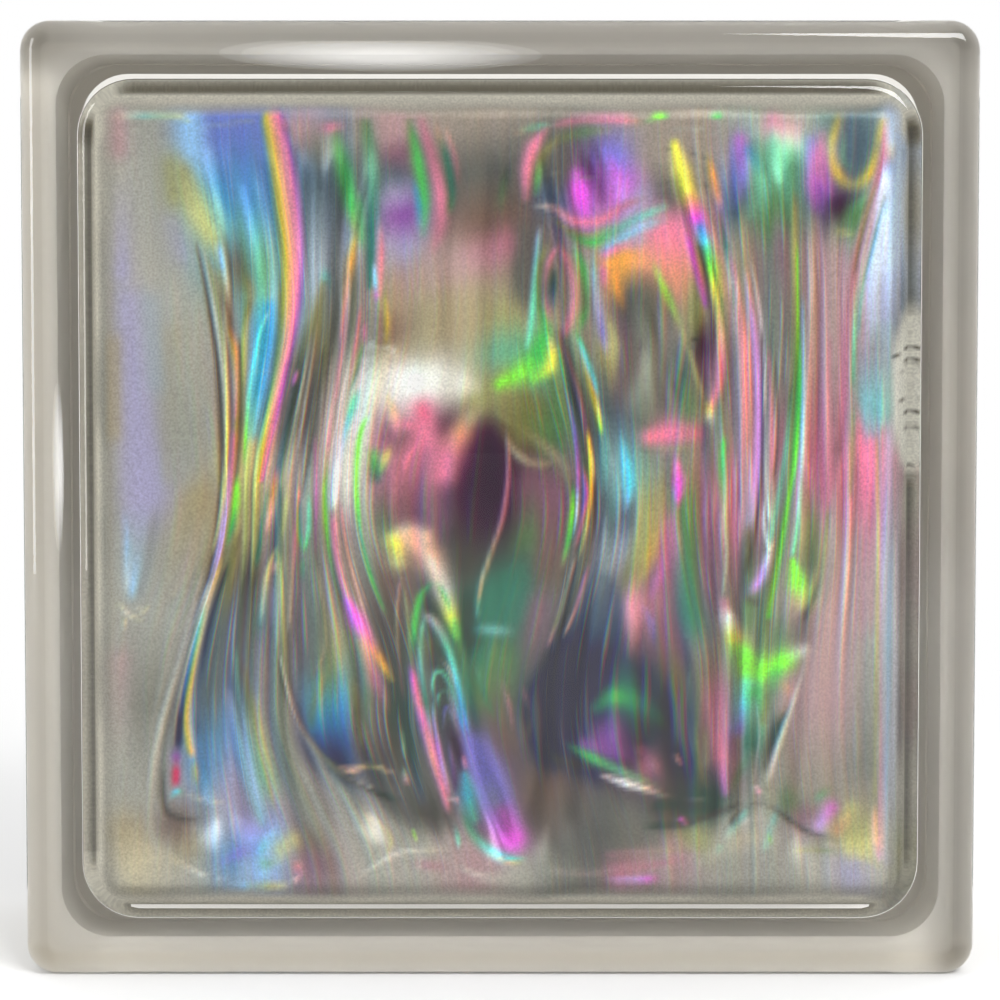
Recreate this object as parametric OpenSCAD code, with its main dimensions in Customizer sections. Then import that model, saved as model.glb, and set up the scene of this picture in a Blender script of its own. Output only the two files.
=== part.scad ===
// Hollow glass block for walls. Two pressed halves are fused at the seam into one sealed piece.
// Millimetres. X is the width, Y the depth, +Z is up, and the front face looks along -Y.
// The origin is the middle of the bottom edge, where the block stands.

/* [Block] */
// Width over the flanges
block_w = 190; // [150:1:240]
// Height over the flanges
block_h = 190; // [150:1:240]
// Depth from the front panel to the back panel
block_d = 80; // [70:1:110]
// Corner radius of the block, seen from the front
corner_r = 6; // [5.5:0.5:10]
// Rounding of the outer edge of each face
edge_r = 4.5; // [2:0.25:5]

/* [Panel] */
// Width of the flat border between the block's edge and the panel
border_w = 12; // [9:0.5:15]
// Height of the panel above its border
panel_rise = 1.2; // [0.8:0.1:2]
// Rounding of the panel's edge
panel_edge_r = 3.5; // [2.5:0.25:5]
// Corner radius of the panel
panel_corner_r = 12; // [7:0.5:16]

/* [Mortar channel] */
// Depth of the channel that runs round the block
channel_depth = 6; // [4.5:0.5:8]
// Reach of each flange behind its border
flange_d = 15; // [12:0.5:18]
// Rounding of the flange on its channel side
flange_back_r = 4; // [1:0.25:5]
// Corner radius of the channel's floor
web_corner_r = 10; // [3:0.5:14]
// Height of the fused seam above the channel's floor
seam_h = 1; // [0.5:0.1:1.5]
// Width of the fused seam
seam_w = 4; // [3:0.25:6]

/* [Cavity] */
// Thickness of the face glass between its waves
face_t = 8; // [6:0.25:11]
// Thickness of the side walls behind the channel
wall_t = 7; // [6:0.25:10]
// Corner radius of the cavity, seen from the front
cavity_corner_r = 6; // [5:0.5:16]
// Rounding where the face glass meets the side walls
cavity_edge_r = 6; // [3:0.25:6.5]

/* [Waves] */
// Share of the full fold height, 1 as on the real block
wave_share = 1; // [0.2:0.05:1.2]
// Width of the calm strip that fades the folds out at the cavity's edge
calm_w = 14; // [8:0.5:20]

/* [Hidden] */

// Fineness of the wavy faces: cells across, cells up, and cells round each cavity edge
cells_x = 64;
cells_y = 24;
cells_edge = 4;
curve_fn = 64;

half_d = block_d / 2;
border_z = half_d - panel_rise;
panel_side = panel_edge_r - sqrt(pow(panel_edge_r, 2) - pow(panel_edge_r - panel_rise, 2));
panel_w = block_w - 2 * (border_w - panel_side);
panel_h = block_h - 2 * (border_w - panel_side);
web_w = block_w - 2 * channel_depth;
web_h = block_h - 2 * channel_depth;
cavity_hw = web_w / 2 - wall_t;
cavity_hh = web_h / 2 - wall_t;
face_z = half_d - face_t;

// Each fold runs from top to bottom. Its middle line and its half width are given at five heights,
// from the top down, as shares of the cavity's half width. Then come its steepness, which is the
// height over the half width (a ridge is positive), and the two ends of its run, from -1 to 1.
folds = [
    [[-0.86, -0.84, -0.85, -0.88, -0.86], [0.08, 0.07, 0.07, 0.06, 0.07], 0.10, -1.4, 1.4],
    [[-0.64, -0.57, -0.63, -0.68, -0.67], [0.115, 0.09, 0.045, 0.08, 0.13], 0.26, -0.98, 1.4],
    [[-0.43, -0.44, -0.515, -0.51, -0.41], [0.075, 0.055, 0.035, 0.045, 0.10], -0.26, -1.2, 1.4],
    [[-0.32, -0.38, -0.44, -0.38, -0.24], [0.055, 0.04, 0.03, 0.06, 0.10], 0.26, -0.95, 1.4],
    [[-0.12, -0.15, -0.12, -0.07, 0.01], [0.15, 0.13, 0.13, 0.09, 0.06], 0.17, -1.4, 1.4],
    [[-0.15, -0.15, -0.18, -0.11, 0.03], [0.06, 0.06, 0.06, 0.07, 0.06], 0.26, -1.1, -0.10],
    [[0.11, 0.18, 0.23, 0.15, 0.11], [0.05, 0.045, 0.04, 0.06, 0.10], 0.28, -1.4, 1.1],
    [[0.34, 0.36, 0.38, 0.36, 0.34], [0.12, 0.11, 0.10, 0.12, 0.12], 0.24, 0.16, 0.66],
    [[0.42, 0.50, 0.535, 0.55, 0.56], [0.04, 0.045, 0.045, 0.05, 0.06], 0.28, -1.2, 0.95],
    [[0.655, 0.67, 0.65, 0.595, 0.58], [0.11, 0.10, 0.07, 0.04, 0.07], -0.26, -1.3, 1.4],
    [[0.84, 0.82, 0.815, 0.765, 0.73], [0.075, 0.07, 0.065, 0.075, 0.10], 0.22, -1.3, 1.4],
    [[0.30, 0.30, 0.30, 0.30, 0.30], [0.10, 0.10, 0.10, 0.12, 0.14], -0.20, -1.0, -0.15]
];

function smooth(a) = let (t = min(max(a, 0), 1)) t * t * (3 - 2 * t);

// A soft hump: 1 in the middle, 0 from a distance of 1 on
function hump(off) = abs(off) >= 1 ? 0 : (1 + cos(180 * off)) / 2;

// Value at the height v of something given at the five heights
function along(five, v, k = 0) = k == 5 ? 0
    : five[k] * hump((v - 1 + 0.5 * k) * 2) + along(five, v, k + 1);

// Height of one fold at the shares u across and v up, as a share of the cavity's half width
function fold_at(fold, u, v) =
    let (half = along(fold[1], v))
    let (ends = smooth((v - fold[3]) / 0.22) * smooth((fold[4] - v) / 0.22))
    fold[2] * half * ends * hump((u - along(fold[0], v)) / half);

function folds_at(u, v, i = 0) =
    i == len(folds) ? 0 : fold_at(folds[i], u, v) + folds_at(u, v, i + 1);

// Distance from the nearest side wall of the cavity
function wall_gap(x, y) = min(cavity_hw - abs(x), cavity_hh - abs(y));

function relief(x, y) = wave_share * cavity_hw * smooth((wall_gap(x, y) - cavity_edge_r) / calm_w)
    * folds_at(x / cavity_hw, y / cavity_hh);

// Drop of the rounded edge towards the side wall
function edge_drop(gap) = gap >= cavity_edge_r ? 0
    : cavity_edge_r - sqrt(pow(cavity_edge_r, 2) - pow(cavity_edge_r - max(gap, 0), 2));

// Rounds the cavity's corners: a square corner is drawn in onto a quarter disc
function corner_x(dx, dy) = max(dx, dy) * (dx >= dy ? cos(45 * dy / dx) : sin(45 * dx / dy));
function rounded(x, y) =
    let (dx = abs(x) - (cavity_hw - cavity_corner_r), dy = abs(y) - (cavity_hh - cavity_corner_r))
    dx <= 0 || dy <= 0 ? [x, y]
    : [sign(x) * (abs(x) - dx + corner_x(dx, dy)), sign(y) * (abs(y) - dy + corner_x(dy, dx))];

// Grid lines across half a width: close together on the rounded edge, even between
function lines(half, cells) = concat(
    [for (i = [0 : cells_edge - 1]) -half + cavity_edge_r * (1 - cos(90 * i / cells_edge))],
    [for (i = [0 : cells]) (half - cavity_edge_r) * (2 * i / cells - 1)],
    [for (i = [cells_edge - 1 : -1 : 0]) half - cavity_edge_r * (1 - cos(90 * i / cells_edge))]
);

xs = lines(cavity_hw, cells_x);
ys = lines(cavity_hh, cells_y);
nx = len(xs);
ny = len(ys);

// Points of the front wavy face, and of the back one, which the same mould pressed
front_points = [for (y = ys) for (x = xs) let (p = rounded(x, y))
    [p[0], p[1], face_z - relief(x, y) - edge_drop(wall_gap(x, y))]];
back_points = [for (y = ys) for (x = xs) let (p = rounded(x, y))
    [p[0], p[1], -face_z + relief(-x, y) + edge_drop(wall_gap(x, y))]];

// Two triangles for each cell, split so that the corner cells stay well shaped
function same_way(i, j) = (xs[i] + xs[i + 1]) * (ys[j] + ys[j + 1]) >= 0;
function cell(a, b, c, d, split) = split ? [[a, c, b], [a, d, c]] : [[a, d, b], [b, d, c]];
front_faces = [for (j = [0 : ny - 2]) for (i = [0 : nx - 2]) each
    let (a = j * nx + i) cell(a, a + 1, a + nx + 1, a + nx, same_way(i, j))];
back_faces = [for (f = front_faces) [for (k = [2 : -1 : 0]) f[k] + nx * ny]];

// The border of the grid, in order, and the side walls between the two faces
rim = concat(
    [for (i = [0 : nx - 2]) i],
    [for (j = [0 : ny - 2]) j * nx + nx - 1],
    [for (i = [nx - 1 : -1 : 1]) (ny - 1) * nx + i],
    [for (j = [ny - 1 : -1 : 1]) j * nx]
);
side_faces = [for (k = [0 : len(rim) - 1]) each
    let (a = rim[k], b = rim[(k + 1) % len(rim)])
    [[a, b, a + nx * ny], [b, b + nx * ny, a + nx * ny]]];

// Cuts that round the two edges of a slab's outline
module edge_cuts(reach, z0, z1, front_r, back_r) {
    translate([reach - front_r, z1 - front_r]) difference() {
        square(front_r + 1);
        circle(front_r, $fn = curve_fn);
    }
    translate([reach - back_r, z0 + back_r]) mirror([0, 1]) difference() {
        square(back_r + 1);
        circle(back_r, $fn = curve_fn);
    }
}

module bar_outline(half, z0, z1, front_r, back_r) {
    difference() {
        translate([-half, z0]) square([2 * half, z1 - z0]);
        edge_cuts(half, z0, z1, front_r, back_r);
        mirror([1, 0]) edge_cuts(half, z0, z1, front_r, back_r);
    }
}

module post_outline(r, z0, z1, front_r, back_r) {
    difference() {
        translate([0, z0]) square([r, z1 - z0]);
        edge_cuts(r, z0, z1, front_r, back_r);
    }
}

// A slab with rounded corners and rounded edges, lying from z0 to z1
module slab(w, h, r, z0, z1, front_r, back_r) {
    rotate([90, 0, 90]) linear_extrude(height = w - 2 * r, center = true)
        bar_outline(h / 2, z0, z1, front_r, back_r);
    rotate([90, 0, 0]) linear_extrude(height = h - 2 * r, center = true)
        bar_outline(w / 2, z0, z1, front_r, back_r);
    for (sx = [-1, 1]) for (sy = [-1, 1])
        translate([sx * (w / 2 - r), sy * (h / 2 - r), 0])
            rotate_extrude($fn = curve_fn) post_outline(r, z0, z1, front_r, back_r);
}

// The plain middle body behind the channel
module web() {
    linear_extrude(height = 2 * border_z - flange_d, center = true) union() {
        square([web_w - 2 * web_corner_r, web_h], center = true);
        square([web_w, web_h - 2 * web_corner_r], center = true);
        for (sx = [-1, 1]) for (sy = [-1, 1])
            translate([sx * (web_w / 2 - web_corner_r), sy * (web_h / 2 - web_corner_r)])
                circle(web_corner_r, $fn = curve_fn);
    }
}

// Front half outside: the flange with its border, and the raised panel
module half_shell() {
    slab(block_w, block_h, corner_r, border_z - flange_d, border_z, edge_r, flange_back_r);
    slab(panel_w, panel_h, panel_corner_r, border_z - flange_d / 3, half_d, panel_edge_r, 1);
}

module cavity() {
    polyhedron(
        points = concat(front_points, back_points),
        faces = concat(front_faces, back_faces, side_faces)
    );
}

module glass_block() {
    color([0.82, 0.84, 0.80, 0.5]) translate([0, 0, block_h / 2]) rotate([90, 0, 0])
        difference() {
            union() {
                half_shell();
                rotate([0, 180, 0]) half_shell();
                web();
                slab(web_w + 2 * seam_h, web_h + 2 * seam_h, web_corner_r + seam_h,
                    -seam_w / 2, seam_w / 2, seam_h, seam_h);
            }
            cavity();
        }
}

glass_block();
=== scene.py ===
import bpy
import math
import numpy as np
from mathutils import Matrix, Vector


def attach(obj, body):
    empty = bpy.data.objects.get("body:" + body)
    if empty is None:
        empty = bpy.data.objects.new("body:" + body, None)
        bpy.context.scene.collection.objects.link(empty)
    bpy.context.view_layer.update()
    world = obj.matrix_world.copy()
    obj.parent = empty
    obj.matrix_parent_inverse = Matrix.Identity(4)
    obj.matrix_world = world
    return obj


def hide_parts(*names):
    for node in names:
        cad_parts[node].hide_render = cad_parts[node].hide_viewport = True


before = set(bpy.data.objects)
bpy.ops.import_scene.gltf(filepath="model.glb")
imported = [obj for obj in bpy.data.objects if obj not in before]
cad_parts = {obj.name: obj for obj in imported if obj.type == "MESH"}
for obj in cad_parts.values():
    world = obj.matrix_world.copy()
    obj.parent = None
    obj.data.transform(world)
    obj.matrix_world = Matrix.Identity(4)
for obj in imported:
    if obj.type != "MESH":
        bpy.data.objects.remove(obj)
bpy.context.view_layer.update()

scene = bpy.context.scene
scene.view_settings.view_transform = "Standard"

# outer skin of the block, metres, the same sizes as the solid
block = {
    "width": 0.190,
    "height": 0.190,
    "depth": 0.080,
    "cornerRadius": 0.006,
    "edgeRadius": 0.0045,
    "borderWidth": 0.012,
    "panelRise": 0.0012,
    "panelEdgeRadius": 0.0035,
    "panelCornerRadius": 0.012,
    "channelDepth": 0.006,
    "flangeDepth": 0.015,
    "flangeBackRadius": 0.004,
    "webCornerRadius": 0.010,
    "seamHeight": 0.001,
    "seamWidth": 0.004,
    "panelRing": 0.004,
    "crease": 0.00006,
    "cornerSteps": 10,
    "arcSteps": {"seam": 4, "flange": 8, "edge": 12, "panel": 10},
}

# sealed cavity with its wavy faces
cavity = {
    "faceThickness": 0.008,
    "wallThickness": 0.007,
    "cornerRadius": 0.006,
    "edgeRadius": 0.006,
    "calmWidth": 0.014,
    "frontCells": (400, 190),
    "backCells": (70, 44),
    "cellsEdge": 6,
    "columnShare": 0.65,
    "foldShare": 1.0,
    "foldEnd": 0.22,
}

# folds of the pressed faces: middle line and half width at five heights from top to bottom
# (shares of the cavity's half width), steepness (a ridge is positive), and the ends of the run
folds = [
    ((-0.86, -0.84, -0.85, -0.88, -0.86), (0.08, 0.07, 0.07, 0.06, 0.07), 0.10, -1.4, 1.4),
    ((-0.64, -0.57, -0.63, -0.68, -0.67), (0.115, 0.09, 0.045, 0.08, 0.13), 0.26, -0.98, 1.4),
    ((-0.43, -0.44, -0.515, -0.51, -0.41), (0.075, 0.055, 0.035, 0.045, 0.10), -0.26, -1.2, 1.4),
    ((-0.32, -0.38, -0.44, -0.38, -0.24), (0.055, 0.04, 0.03, 0.06, 0.10), 0.26, -0.95, 1.4),
    ((-0.12, -0.15, -0.12, -0.07, 0.01), (0.15, 0.13, 0.13, 0.09, 0.06), 0.17, -1.4, 1.4),
    ((-0.15, -0.15, -0.18, -0.11, 0.03), (0.06, 0.06, 0.06, 0.07, 0.06), 0.26, -1.1, -0.10),
    ((0.11, 0.18, 0.23, 0.15, 0.11), (0.05, 0.045, 0.04, 0.06, 0.10), 0.28, -1.4, 1.1),
    ((0.34, 0.36, 0.38, 0.36, 0.34), (0.12, 0.11, 0.10, 0.12, 0.12), 0.24, 0.16, 0.66),
    ((0.42, 0.50, 0.535, 0.55, 0.56), (0.04, 0.045, 0.045, 0.05, 0.06), 0.28, -1.2, 0.95),
    ((0.655, 0.67, 0.65, 0.595, 0.58), (0.11, 0.10, 0.07, 0.04, 0.07), -0.26, -1.3, 1.4),
    ((0.84, 0.82, 0.815, 0.765, 0.73), (0.075, 0.07, 0.065, 0.075, 0.10), 0.22, -1.3, 1.4),
    ((0.30, 0.30, 0.30, 0.30, 0.30), (0.10, 0.10, 0.10, 0.12, 0.14), -0.20, -1.0, -0.15),
]

# film on the front wave: its places are pixels of the photograph's frame, 1000 across and 1000 down
filmLook = {
    "unit": (0.0002015, 0.0002),  # metres to a pixel, across and down; half widths are pixels too
    "middle": (500, 497),  # the block's middle
    "guideTop": 100,
    "guideRun": 800,
    "brightness": 1.225,
    "roughness": 0.42,
    "rimRoughness": 0.4,
    "metallic": 0.75,
    "specular": 0.2,
    "dispersion": 0.45,
    "streakContrast": 0.13,
    "endFade": 14.0,
    "washCover": 0.8,
    "washReach": 6.0,
    "lineReach": 2.6,
    "softness": 0.8,
    "pull": 0.02,
    "pullSteps": (-1.0, -0.33, 0.33, 1.0),
    "sheen": 0.05,
    "thinShare": 0.7,
    # strength of the painted highlights on the streaks' crests
    "crestHighlight": 75,
    # painted shade and highlight at steps in from the film's edge: dark at the edge, a pale band, then fading
    # to tan
    "rim": ((0, (44, 40, 32)), (2, (66, 60, 50)), (4.5, (200, 193, 180)), (10, (210, 203, 190)),
            (15, (188, 181, 169)), (22, (165, 158, 147)), (34, (148, 142, 132))),
    # depth of the bare lip along the edge, what the top and the right add to it, and its fade
    "lip": {"all": 17, "top": 11, "right": -6, "fade": 9},
    "rimShift": {"bottom": 3.0, "top": -1.0},
    # where the strips along the top, the bottom and the right begin, and their blend
    "strips": {"top": 150, "bottom": 850, "right": 860, "blend": 20},
    "reflectionPatch": (919, 388, 35, 104),  # middle, half width and half height of the painted lamp reflection at the right, a pale patch
    "pitDepth": 120,
    "veil": 0.06,
    "vivid": 1.02,
    "balance": (0.985, 1.045, 1.065),
    # middle, half width and half height of the parts that the fine streaks leave calm
    "calm": ((465, 230, 80, 130), (420, 385, 60, 45), (570, 820, 60, 50), (150, 400, 60, 330),
             (828, 700, 50, 120), (488, 500, 45, 100), (508, 604, 40, 45), (560, 700, 45, 80)),
    "calmShare": 0.8,
    # how lively the fine streaks are at shares of the way down
    "lifeDown": ((0, 0.15), (0.1, 0.4), (0.25, 0.8), (0.5, 1.0), (0.78, 0.8), (0.88, 0.35), (1, 0.2)),
    "fineRoom": (22, 42),  # room between the guides over which the finest ripples come in
    "hairRoom": (16, 30),  # the same for the hairs
    # seed, least and greatest pitch, and slant of each set of ripples
    "ripples": {
        "sway": (1, 0.4, 1.4, 0.9), "bend": (2, 0.4, 1.5, 1.2), "slide": (3, 0.7, 2.6, 0.9),
        "patch": (4, 0.12, 0.5, 1.6), "ridge": (5, 0.9, 3.0, 1.2), "thin": (6, 3.0, 7.0, 1.8),
        "sheen": (7, 0.5, 1.6, 1.0),
    },
    # how far red and blue part from green
    "fringe": {"lines": 1.2, "ridges": 0.1, "sheen": 0.22, "hairs": 0.35},
    "slide": 0.014,
    "sway": 0.08,
    "grainScale": 2300.0,
    "grainDepth": 0.46,
    "grainRoughness": 0.1,
    "hairs": 12.0,
    "hairRun": 7.0,
    "hairContrast": 1.0,
    "hairGlint": 0.22,
    "glintRange": (0.58, 0.8),
    "seed": 1,
}

palette = {
    "grey": (158, 155, 146), "ash": (130, 128, 120), "smoke": (106, 105, 101), "dark": (86, 84, 80),
    "stone": (174, 169, 158), "cream": (226, 220, 208), "white": (248, 248, 244), "ice": (206, 217, 238),
    "mist": (156, 164, 172), "tan": (166, 152, 126), "sand": (196, 184, 156), "khaki": (160, 156, 114),
    "straw": (208, 202, 134), "olive": (124, 120, 86), "gold": (222, 186, 84), "yellow": (250, 238, 104),
    "lime": (142, 242, 84), "green": (92, 192, 100), "moss": (100, 130, 92), "jade": (118, 172, 140),
    "teal": (71, 120, 102), "pine": (60, 82, 75), "mint": (130, 230, 190), "aqua": (126, 184, 180),
    "cyan": (112, 220, 234), "sky": (158, 200, 230), "azure": (78, 158, 204), "blue": (98, 142, 184),
    "deepBlue": (62, 102, 160), "periwinkle": (116, 126, 184), "navy": (56, 62, 84), "slate": (98, 109, 116),
    "steel": (88, 100, 116), "lavender": (166, 160, 186), "violet": (138, 130, 212), "lilac": (204, 164, 224),
    "purple": (142, 96, 158), "orchid": (208, 118, 206), "plum": (80, 63, 78), "magenta": (242, 106, 226),
    "pink": (236, 140, 164), "rose": (188, 124, 140), "blush": (178, 148, 148), "mauve": (136, 106, 116),
    "brown": (118, 101, 93), "peach": (248, 196, 168), "salmon": (228, 160, 132), "orange": (244, 168, 92),
    "red": (208, 70, 100), "clay": (156, 144, 134), "linen": (194, 190, 178),
}

# lines that the streaks follow, at five heights from top to bottom, and how lively they are there
guides = [
    ((95, 95, 95, 95, 95), 0.0), ((190, 212, 226, 180, 165), 0.35), ((222, 238, 232, 192, 200), 1.0),
    ((250, 258, 246, 235, 260), 1.0), ((268, 293, 258, 250, 285), 0.7), ((320, 322, 300, 300, 360), 0.8),
    ((345, 345, 335, 370, 420), 1.0), ((372, 372, 357, 405, 450), 0.8), ((425, 440, 400, 430, 470), 0.35),
    ((500, 505, 508, 470, 520), 0.25), ((545, 535, 570, 545, 560), 0.7), ((570, 580, 588, 560, 590), 1.0),
    ((620, 612, 625, 600, 640), 0.6), ((672, 690, 676, 700, 700), 0.6), ((700, 715, 725, 735, 740), 0.9),
    ((745, 757, 757, 752, 760), 1.0), ((790, 794, 785, 775, 790), 0.9), ((815, 825, 828, 815, 830), 0.6),
    ((875, 850, 855, 850, 860), 0.7), ((905, 905, 905, 905, 905), 0.2),
]

# soft grounds: path, half widths and colours along the path, strength
washes = {
    "calm left field": [
        ("106,110 106,500 108,880", "12", "stone grey stone", 0.6),
        ("150,110 165,300 185,420", "20", "grey stone grey", 0.7),
        ("124,118 125,148", "9", "blush", 0.7),
        ("128,170 128,270", "9", "stone lavender", 0.5),
        ("136,300 142,400 148,480", "13 17 16", "lavender", 0.55),
        ("156,300 162,380", "10", "mist", 0.6),
        ("119,340 118,430", "7", "tan", 0.5),
        ("176,330 174,470", "9", "tan grey", 0.4),
        ("178,165 181,195", "11", "khaki", 0.7),
        ("176,222 184,250", "12", "lavender", 0.3),
        ("146,500 140,545 136,590", "11 9 4", "lavender mist sky", 0.5),
        ("200,500 172,590", "14", "tan grey", 0.5),
        ("160,620 150,700 140,780", "22", "grey ash grey", 0.75),
        ("122,660 120,760", "12", "blush stone", 0.4),
        ("122,830 140,860 180,885", "18", "tan sand stone", 0.6),
    ],
    "hourglass": [
        ("197,122 201,158 210,192", "11 13 11", "sky sky aqua", 0.85),
        ("234,126 240,158", "26 26", "periwinkle", 1.0),
        ("243,178 252,206", "26 22", "blue", 1.0),
        ("218,208 230,228", "13", "aqua", 0.8),
        ("250,236 258,264 268,292", "20 17 12", "aqua jade aqua", 0.9),
        ("190,170 204,208 218,238", "8 11 8", "khaki straw straw", 0.9),
        ("235,246 244,272", "10", "smoke brown", 0.9),
        ("252,455 250,505 246,545", "9 9 6", "straw khaki khaki", 0.9),
        ("234,575 224,612 216,655", "11 14 14", "olive slate slate", 0.9),
        ("250,570 247,640", "9", "dark smoke", 0.85),
        ("222,690 226,740 232,790", "15 20 18", "slate blue lavender", 0.9),
        ("236,690 242,735 250,785", "9 12 9", "steel blue mist", 0.8),
        ("256,720 268,780", "8 9", "khaki jade", 0.75),
        ("206,770 207,800", "9 9", "blue mist", 0.8),
        ("216,828 240,832", "20", "mist lavender", 0.7),
        ("182,822 192,845", "14", "brown tan", 0.7),
        ("232,848 262,838", "16 14", "blue violet", 0.7),
        ("262,862 272,842", "12", "sky sky", 0.7),
        ("316,838 322,852", "18", "brown mauve", 0.7),
    ],
    "left of centre": [
        ("304,132 322,146", "13", "blush ash", 0.8),
        ("322,185 317,255 320,310", "18 20 13", "slate mist mist", 0.9),
        ("303,250 302,330", "8", "mist", 0.6),
        ("352,270 345,330", "9", "smoke", 0.6),
        ("318,320 306,380 296,440", "9", "olive smoke smoke", 0.8),
        ("300,470 306,540 306,650", "14 16 16", "stone ash smoke", 0.9),
        ("283,580 282,660", "8", "stone ash", 0.6),
        ("270,600 266,650", "8", "slate", 0.6),
        ("278,660 300,760 330,820 370,860", "10 16 22 18", "ash ash grey stone", 0.9),
        ("336,650 332,688", "13", "khaki moss", 0.9),
        ("340,705 334,728", "20", "azure deepBlue", 1.0),
        ("322,745 336,758", "12", "navy navy", 0.9),
        ("362,690 366,745", "9", "olive brown", 0.7),
        ("385,690 392,760", "13", "brown dark", 0.8),
        ("366,500 374,570", "12", "stone ash", 0.8),
        ("402,780 430,815", "13", "smoke dark", 0.8),
        ("420,850 470,862", "18", "stone blush", 0.7),
    ],
    "centre": [
        ("398,135 402,150", "15", "blush mauve", 0.85),
        ("396,175 398,195", "12", "slate lavender", 0.7),
        ("404,215 404,245", "15 14", "purple lavender", 0.7),
        ("476,125 486,170 494,215", "26 28 24", "clay smoke brown", 0.9),
        ("420,285 462,268 504,240", "18 22 14", "blush blush rose", 0.6),
        ("526,230 524,290", "9", "smoke", 0.85),
        ("425,305 470,305", "26", "tan tan", 0.85),
        ("395,330 405,345", "14", "brown tan", 0.6),
        ("500,315 505,345", "16", "khaki jade", 0.7),
        # painted reflection of a lamp: a cream and white patch
        ("356,389 386,383 416,379 448,380 478,386", "4 12 14 11 4", "cream cream white cream cream", 1.0),
        ("362,398 356,440 351,485", "6 9 8", "cream cream cream", 0.85),
        ("538,348 528,366 508,381 484,391", "8 11 9 5", "green jade khaki khaki", 0.7),
        ("480,392 530,405", "13", "khaki olive", 0.8),
        ("545,420 520,425", "16", "moss olive", 0.8),
        ("394,430 446,424", "11", "dark plum", 0.35),
        ("410,465 420,508", "24", "rose mauve", 0.95),
        ("385,500 384,530", "9", "brown moss", 0.6),
        ("482,448 488,500 470,556", "22 26 22", "plum plum dark", 1.0),
        ("530,485 528,535", "15", "mauve moss", 0.5),
        ("552,490 548,570", "12", "mauve brown", 0.8),
        ("505,592 500,604", "24 20", "teal", 0.95),
        ("465,600 470,640", "10", "pine", 0.8),
        ("388,570 392,640 400,720", "8 9 10", "brown dark pine", 0.8),
        ("540,600 530,680", "12", "mauve smoke", 0.7),
        ("500,660 512,735", "16", "moss brown", 0.85),
        ("480,650 482,690", "9", "teal moss", 0.6),
        ("478,744 498,796 512,838", "8 12 9", "violet violet orchid", 0.9),
        ("545,790 580,830", "26", "brown smoke", 0.95),
        ("560,862 520,872", "16", "ash stone", 0.7),
    ],
    "right of centre": [
        ("556,172 556,196", "15", "smoke steel", 0.9),
        ("592,168 594,186", "9", "plum purple", 0.9),
        ("578,186 580,204", "9", "magenta orchid", 0.95),
        ("612,160 622,188", "10 12", "violet orchid", 0.9),
        ("640,196 632,206", "10", "lavender", 0.7),
        ("680,125 720,150", "16", "clay clay", 0.9),
        ("662,158 668,190", "16", "clay smoke", 0.9),
        ("612,240 636,236", "9", "aqua lavender", 0.5),
        ("664,238 672,272", "19 17", "pink salmon", 1.0),
        ("628,262 640,256", "11", "orange salmon", 0.95),
        ("640,292 654,340 664,390", "15 22 18", "smoke ash ash", 0.9),
        ("622,330 628,385", "10", "mauve brown", 0.8),
        ("672,360 684,395", "9", "pine moss", 0.7),
        ("692,290 692,318", "9", "khaki", 0.9),
        ("702,335 704,375", "9", "plum mauve", 0.7),
        ("610,330 610,360", "7", "khaki", 0.8),
        ("605,410 612,470", "11", "slate aqua", 0.75),
        ("640,385 650,405", "13", "smoke smoke", 0.7),
        ("622,515 615,548", "12", "slate mist", 0.6),
        ("652,505 642,550 626,580", "8 10 9", "khaki khaki olive", 0.7),
        ("668,530 654,580", "9", "rose mauve", 0.8),
        ("690,500 690,610", "10", "moss teal", 0.8),
        ("712,500 712,590", "12", "rose mauve", 0.8),
        ("600,600 590,650 566,700", "13 22 28", "steel navy navy", 1.0),
        ("640,650 660,710 684,775", "12 17 12", "navy navy dark", 0.95),
        ("590,760 620,775", "12", "navy plum", 0.9),
        ("556,664 539,710 552,752", "13 17 15", "navy navy navy", 0.95),
        ("640,600 640,640", "12", "rose mauve", 0.8),
        ("660,640 676,680", "14", "mauve olive", 0.7),
        ("632,690 650,712", "16 14", "teal pine", 0.9),
        ("608,738 632,742", "13", "purple plum", 0.9),
        ("646,758 650,772", "10", "rose mauve", 0.7),
        ("682,705 690,760", "12", "dark navy", 0.9),
        ("670,805 705,800", "13", "dark pine", 0.85),
        ("610,800 630,830", "18", "smoke ash", 0.8),
        ("690,838 680,850", "13", "khaki blush", 0.7),
        ("620,868 650,862", "10", "rose blush", 0.6),
    ],
    "right": [
        ("734,150 732,200", "9", "violet steel", 0.85),
        ("770,128 790,128", "9", "rose blush", 0.6),
        ("762,165 786,168", "19", "jade jade", 0.9),
        ("768,215 770,240", "12", "moss ash", 0.8),
        ("766,280 766,380", "10", "ash", 0.9),
        ("780,250 782,330", "7", "mauve ash", 0.6),
        ("816,160 816,190", "9", "orchid purple", 0.85),
        ("850,145 850,160", "13", "slate", 1.0),
        ("836,204 846,212", "11", "plum moss", 0.8),
        ("816,260 818,360 816,460", "14", "blush blush rose", 0.9),
        ("810,540 806,570", "9", "khaki moss", 0.5),
        ("866,360 866,405", "11", "mist aqua", 0.5),
        ("893,125 884,200 880,260 886,330", "7 10 10 6", "ice ice ice mist", 0.95),
        ("862,450 862,500 855,560", "11 13 12", "pink rose blush", 0.75),
        ("742,560 752,610", "10", "smoke moss", 0.7),
        ("776,640 800,628", "14", "moss smoke", 0.8),
        ("830,620 815,700 806,770", "26 28 22", "blush blush clay", 0.95),
        ("866,640 862,760", "12", "grey ash", 0.8),
        ("716,700 722,745", "11", "rose rose", 0.8),
        ("752,705 748,745", "9", "jade teal", 0.7),
        ("776,728 770,748", "7", "pine dark", 0.8),
        ("745,835 750,862", "20", "stone grey", 0.9),
        ("790,800 800,812", "12", "moss mauve", 0.5),
        ("846,822 858,846", "14", "khaki straw", 0.5),
        ("815,862 850,866", "12", "stone lavender", 0.6),
    ],
}

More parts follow.
